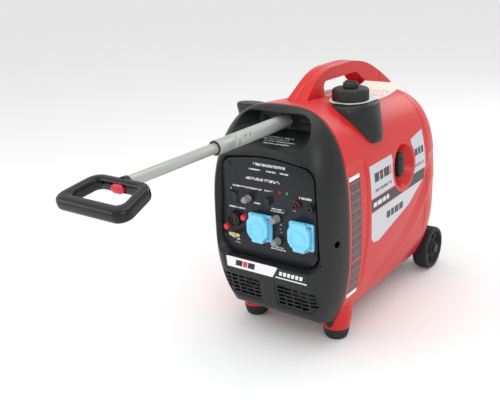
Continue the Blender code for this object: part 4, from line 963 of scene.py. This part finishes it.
grip = {"at": (0, -0.3286, 0.414), "tilt": math.radians(12.8), "back": 0.0559, "front": 0.0718,
        "long": 0.080, "half": 0.0101, "bar": 0.0205, "sideBack": 0.0165, "sideFront": 0.0220,
        "section": 40, "power": 3.0}
gripOutline = roundOutline([(-grip["back"], 0.0, 0.0245), (grip["back"], 0.0, 0.0245),
                            (grip["front"], -grip["long"], 0.0175),
                            (-grip["front"], -grip["long"], 0.0175)], 12)
backHole, frontHole = grip["back"] - grip["sideBack"], grip["front"] - grip["sideFront"]
loopOutline = roundOutline([(-backHole, -0.0155, 0.0095), (backHole, -0.0155, 0.0095),
                            (frontHole, grip["bar"] - grip["long"], 0.0095),
                            (-frontHole, grip["bar"] - grip["long"], 0.0095)], 12)
# the grip is a ring whose section fills the space between the two outlines
bpy.ops.object.select_all(action="DESELECT")
bpy.ops.mesh.primitive_torus_add(major_segments=len(gripOutline), minor_segments=grip["section"],
                                 major_radius=0.05, minor_radius=0.01)
handGrip = named("look_grip")
for index, vertex in enumerate(handGrip.data.vertices):
    outside, inside = (outline[index // grip["section"]] for outline in (gripOutline, loopOutline))
    a = tau * (index % grip["section"]) / grip["section"]
    across = math.copysign(abs(math.cos(a)) ** (2 / grip["power"]), math.cos(a))
    spot = inside.lerp(outside, 0.5 + 0.5 * across)
    high = math.copysign(abs(math.sin(a)) ** (2 / grip["power"]), math.sin(a))
    vertex.co = (spot.x, spot.y, grip["half"] * high)
tidyMesh(handGrip, 0.000001)
combine(handGrip, [box("buttonRoom", (-0.0131, -0.0300, -0.0071), (0.0131, -0.0085, 0.0071))])
button = plate("look_release_button", roundOutline([(-0.0128, 0, 0.003), (-0.0075, 0.0065, 0.005),
                                                    (0.0075, 0.0065, 0.005), (0.0128, 0, 0.003),
                                                    (0.0075, -0.0065, 0.005), (-0.0075, -0.0065, 0.005)],
                                                   8), "Y", -0.0212, -0.0130)
soften(button, 0.0026, 4)
tilt = Matrix.Translation(grip["at"]) @ Matrix.Rotation(grip["tilt"], 4, "X")
for piece in (handGrip, button):
    piece.data.transform(tilt)
neck = lathe("grip_neck", "Y", [(0, -334.6), (10.4, -334.6), (10.6, -333.8), (10.5, -326.2), (9.8, -325),
                                (9.1, -325), (9.1, -329.8), (0, -329.8)], (0, 0, tube["z"]), 56)
done(handGrip, "pull_grip", "gloss", ("grip",), 40)
done(neck, "pull_grip", "gloss", angle=40)
done(button, "release", "button", ("release_button",), 50)
print("handle finished")

# wheels, feet and axle
wheel = {"y": 0.466, "z": 0.047, "holes": 6, "holeAt": 0.0252, "holeRadius": 0.0072, "treads": 32,
         "profile": [(6.4, 97.5), (12.8, 97), (13, 101), (35.5, 101), (37.5, 97.2), (42.5, 97),
                     (45.2, 97.8), (46.6, 100), (47, 104), (47, 123), (46.6, 127), (45.2, 129.2),
                     (42.5, 130), (38.2, 129.8), (37, 128), (36, 122.8), (15, 122.8), (13.8, 129),
                     (13, 130), (6.4, 129.8)]}
for side, sign in (("left", -1), ("right", 1)):
    profile = [(radius, sign * out) for radius, out in wheel["profile"]]
    rim = lathe("look_wheel_" + side, "X", profile, (0, wheel["y"], wheel["z"]), 96)
    holes = []
    for k in range(wheel["holes"]):
        a = tau * k / wheel["holes"] + 0.3
        holes.append(rod("hole", "X", *sorted((sign * 0.09, sign * 0.14)), wheel["holeRadius"],
                         at=(wheel["y"] + wheel["holeAt"] * math.cos(a),
                             wheel["z"] + wheel["holeAt"] * math.sin(a)), sides=28))
    combine(rim, holes)
    treads = []
    for k in range(wheel["treads"]):
        a = tau * k / wheel["treads"]
        inner, outward = sorted((sign * 0.1005, sign * 0.1265))
        tread = box("tread", (inner, -0.0012, 0.0460), (outward, 0.0012, 0.0490))
        tread.data.transform(Matrix.Translation((0, wheel["y"], wheel["z"])) @ Matrix.Rotation(a, 4, "X"))
        treads.append(tread)
    combine(rim, [merged("treads", treads)])
    done(rim, "wheel_" + side[0], "rubber", ("wheel_" + side,), 32)
    axleCap = lathe("look_axle_cap_" + side, "X", [(0, sign * 130.3), (11, sign * 130.3),
                                                   (11, sign * 133), (9.6, sign * 134.2),
                                                   (5, sign * 134.5), (0, sign * 134.5)],
                    (0, wheel["y"], wheel["z"]), 48)
    done(axleCap, "chassis", "dark", ("axle_cap_" + side,))
    x = sign * foot["x"]
    pad = ribbedForm("look_front_foot_" + side, 20, [(17.5, 0, 0), (19, 0.8, 0.2), (21.2, 3, 1),
                                                     (22.8, 8, 1.4), (24.3, 14, 1.4), (25.2, 18.5, 0.8),
                                                     (25.5, 19.8, 0), (25.5, 21.6, 0), (25, 22, 0)])
    pad.data.transform(Matrix.Translation((x, foot["y"], 0)))
    done(pad, "chassis", "rubber", ("front_foot_" + side,), 40)
refined("axle", "steel", 0.0005)
refined("axle_bracket", "charcoal", 0.0010, 2)
refined("base_pan", "charcoal", 0.0008, 2)
print("wheels and feet finished")

# starter pull, rear grille and exhaust
pull = plate("look_recoil_grip", roundBox((-0.0105, -0.025), (0.0105, 0.025), 0.0085), "X", 0.0, 0.027)
soften(pull, 0.0052, 4, clamp=False)
grooves = [box("groove", (0.0255, -0.0065, z - 0.0009), (0.0290, 0.0065, z + 0.0009))
           for z in (-0.012, -0.006, 0, 0.006, 0.012)]
combine(pull, [merged("grooves", grooves)])
pull.data.transform(Matrix.Translation((0.1035, starter["y"], starter["z"])))
done(pull, "recoil_pull", "dark", ("recoil_grip",), 40)
seat = lathe("starter_bezel", "X", [(6, 98.2), (12, 98.2), (11.2, 100), (6.4, 101.2)],
             (0, starter["y"], starter["z"]), 40)
done(seat, "chassis", "dark")
refined("rear_grille", "charcoal", 0.0005, 2)
outlet = lathe("look_exhaust_outlet", "Y", [(13, 452.3), (13, 479), (12.7, 480), (11.8, 480), (11.5, 479),
                                            (11.5, 452.3)], (-0.036, 0, 0.2315), 56)
done(outlet, "chassis", "steel", ("exhaust_outlet",))

# badge strip and screws on the front housing
def onFront(name, corners, thick, look):
    strip = plate(name, corners, "Y", -thick, 0.0002)
    only(strip)
    bpy.ops.object.mode_set(mode="EDIT")
    for k in range(1, 9):
        bpy.ops.mesh.select_all(action="SELECT")
        bpy.ops.mesh.bisect(plane_co=(0, 0, 0.138 + 0.0035 * k), plane_no=(0, 0, 1))
    bpy.ops.object.mode_set(mode="OBJECT")
    for vertex in strip.data.vertices:
        vertex.co.y += frontReach(vertex.co.z)
    return done(strip, "chassis", look)


def mm(corners):
    return [(a / 1000, b / 1000, c / 1000) for a, b, c in corners]


onFront("badge_field", roundOutline(mm([(-89, 141, 1), (-89, 163, 2), (27, 163, 1), (14, 141, 1)]), 4),
        0.0007, "white")
onFront("badge_tail", roundOutline(mm([(16, 141, 1), (29, 163, 1), (89, 163, 2), (89, 141, 1)]), 4),
        0.0006, "dark")
onFront("badge_line", roundOutline(mm([(20, 142.2, 0.2), (21.5, 144.6, 0.2), (87, 144.6, 0.2),
                                       (87, 142.2, 0.2)]), 1), 0.0009, "white")
for k, (start, end, look) in enumerate(((-66, -51, "dark"), (-49, -40, "button"), (-38, -23, "dark"))):
    onFront("badge_mark_%d" % k, roundOutline(mm([(start - 3, 146.5, 0.5), (start, 158.5, 0.5),
                                                  (end, 158.5, 0.5), (end - 3, 146.5, 0.5)]), 2), 0.0010,
            look)
for k in range(6):
    start = 31 + 8.6 * k
    onFront("badge_block_%d" % k, roundOutline(mm([(start - 2, 149, 0.4), (start, 157, 0.4),
                                                   (start + 6, 157, 0.4), (start + 4, 149, 0.4)]), 2),
            0.0009, "white")
flankScrews = []
for side in (-1, 1):
    flankScrews.append(lathe("flank_screw", "X", [(0, side * 118), (4.8, side * 118), (4.8, side * 120),
                                                  (4, side * 121.2), (1.4, side * 121.2), (1, side * 120),
                                                  (0, side * 120)], (0, 0.025, 0.218), 24))
    flankScrews.append(lathe("pocket_screw", "Y", [(0, 76.4), (3.6, 76.4), (3.4, 75), (1.2, 74.8),
                                                   (0, 75.6)], (side * 0.045, 0, 0.4145), 24))
done(merged("housing_screws", flankScrews), "chassis", "dark")

# pieces inside the case keep their CAD shape
inside = {"fuel_tank": "tank", "handle_guide": "steel", "starter_rope": "rubber", "starter_pulley": "dark",
          "starter_housing": "dark", "crankshaft": "steel", "stator": "copper", "engine_block": "cast",
          "cylinder_head": "cast", "carburettor": "cast", "air_cleaner": "dark", "muffler": "steel",
          "oil_filler_cap": "dark", "inverter_module": "cast", "engine_mount_left": "rubber",
          "engine_mount_right": "rubber"}
for node, look in inside.items():
    obj = frame["nodes"][node]
    obj.data.materials.clear()
    obj.data.materials.append(finish[look])

# floor, light and camera
stage = {"floor": "F8F8F8", "key": 11, "fill": 10, "top": 10, "rim": 5, "world": 0.84}
bpy.ops.object.select_all(action="DESELECT")
bpy.ops.mesh.primitive_plane_add(size=160, location=(0, 0, 0))
floor = named("floor")
floorLook = moulded({"name": "paleMattPaint", "colour": stage["floor"], "shade": stage["floor"],
                     "rough": 0.85, "spread": 0.03, "grainMm": 8, "deepMm": 0.05})
floor.data.materials.append(floorLook)
bpy.context.scene.view_settings.view_transform = "Standard"
world = bpy.data.worlds.new("studio")
bpy.context.scene.world = world
world.use_nodes = True
world.node_tree.nodes["Background"].inputs[0].default_value = (1, 1, 1, 1)
world.node_tree.nodes["Background"].inputs[1].default_value = stage["world"]


def softbox(name, power, spot, aim, size):
    light = bpy.data.lights.new(name, "AREA")
    light.shape = "RECTANGLE"
    light.size, light.size_y = size
    light.energy = power
    lamp = bpy.data.objects.new(name, light)
    lamp.location = spot
    lamp.rotation_euler = (Vector(aim) - Vector(spot)).to_track_quat("-Z", "Y").to_euler()
    bpy.context.scene.collection.objects.link(lamp)


middle = (0, 0.15, 0.25)
softbox("key", stage["key"], (1.6, -1.5, 1.7), middle, (1.1, 1.1))
softbox("fill", stage["fill"], (-1.7, -1.5, 1.1), middle, (1.4, 1.4))
softbox("top", stage["top"], (0.1, 0.1, 2.0), middle, (1.4, 1.4))
softbox("rim", stage["rim"], (0.4, 2.2, 1.3), middle, (1.2, 0.8))

view = {"spot": (0.7076, -0.9930, 0.7194), "yaw": 37.5, "down": 18.9, "roll": -3.0, "lens": 52.49,
        "shiftX": 0.0188, "shiftY": -0.0152}
yaw, down, roll = (math.radians(view[key]) for key in ("yaw", "down", "roll"))
ahead = Vector((-math.sin(yaw) * math.cos(down), math.cos(yaw) * math.cos(down), -math.sin(down)))
side = ahead.cross(Vector((0, 0, 1))).normalized()
above = side.cross(ahead)
rolled = math.cos(roll) * side + math.sin(roll) * above
upright = -math.sin(roll) * side + math.cos(roll) * above
lens = bpy.data.cameras.new("camera")
lens.lens, lens.sensor_width = view["lens"], 36
lens.shift_x, lens.shift_y = view["shiftX"], view["shiftY"]
camera = bpy.data.objects.new("camera", lens)
turn = Matrix((rolled, upright, -ahead)).transposed().to_4x4()
camera.matrix_world = Matrix.Translation(Vector(view["spot"]) + Vector((0, bodyShift, 0))) @ turn
bpy.context.scene.collection.objects.link(camera)
bpy.context.scene.camera = camera
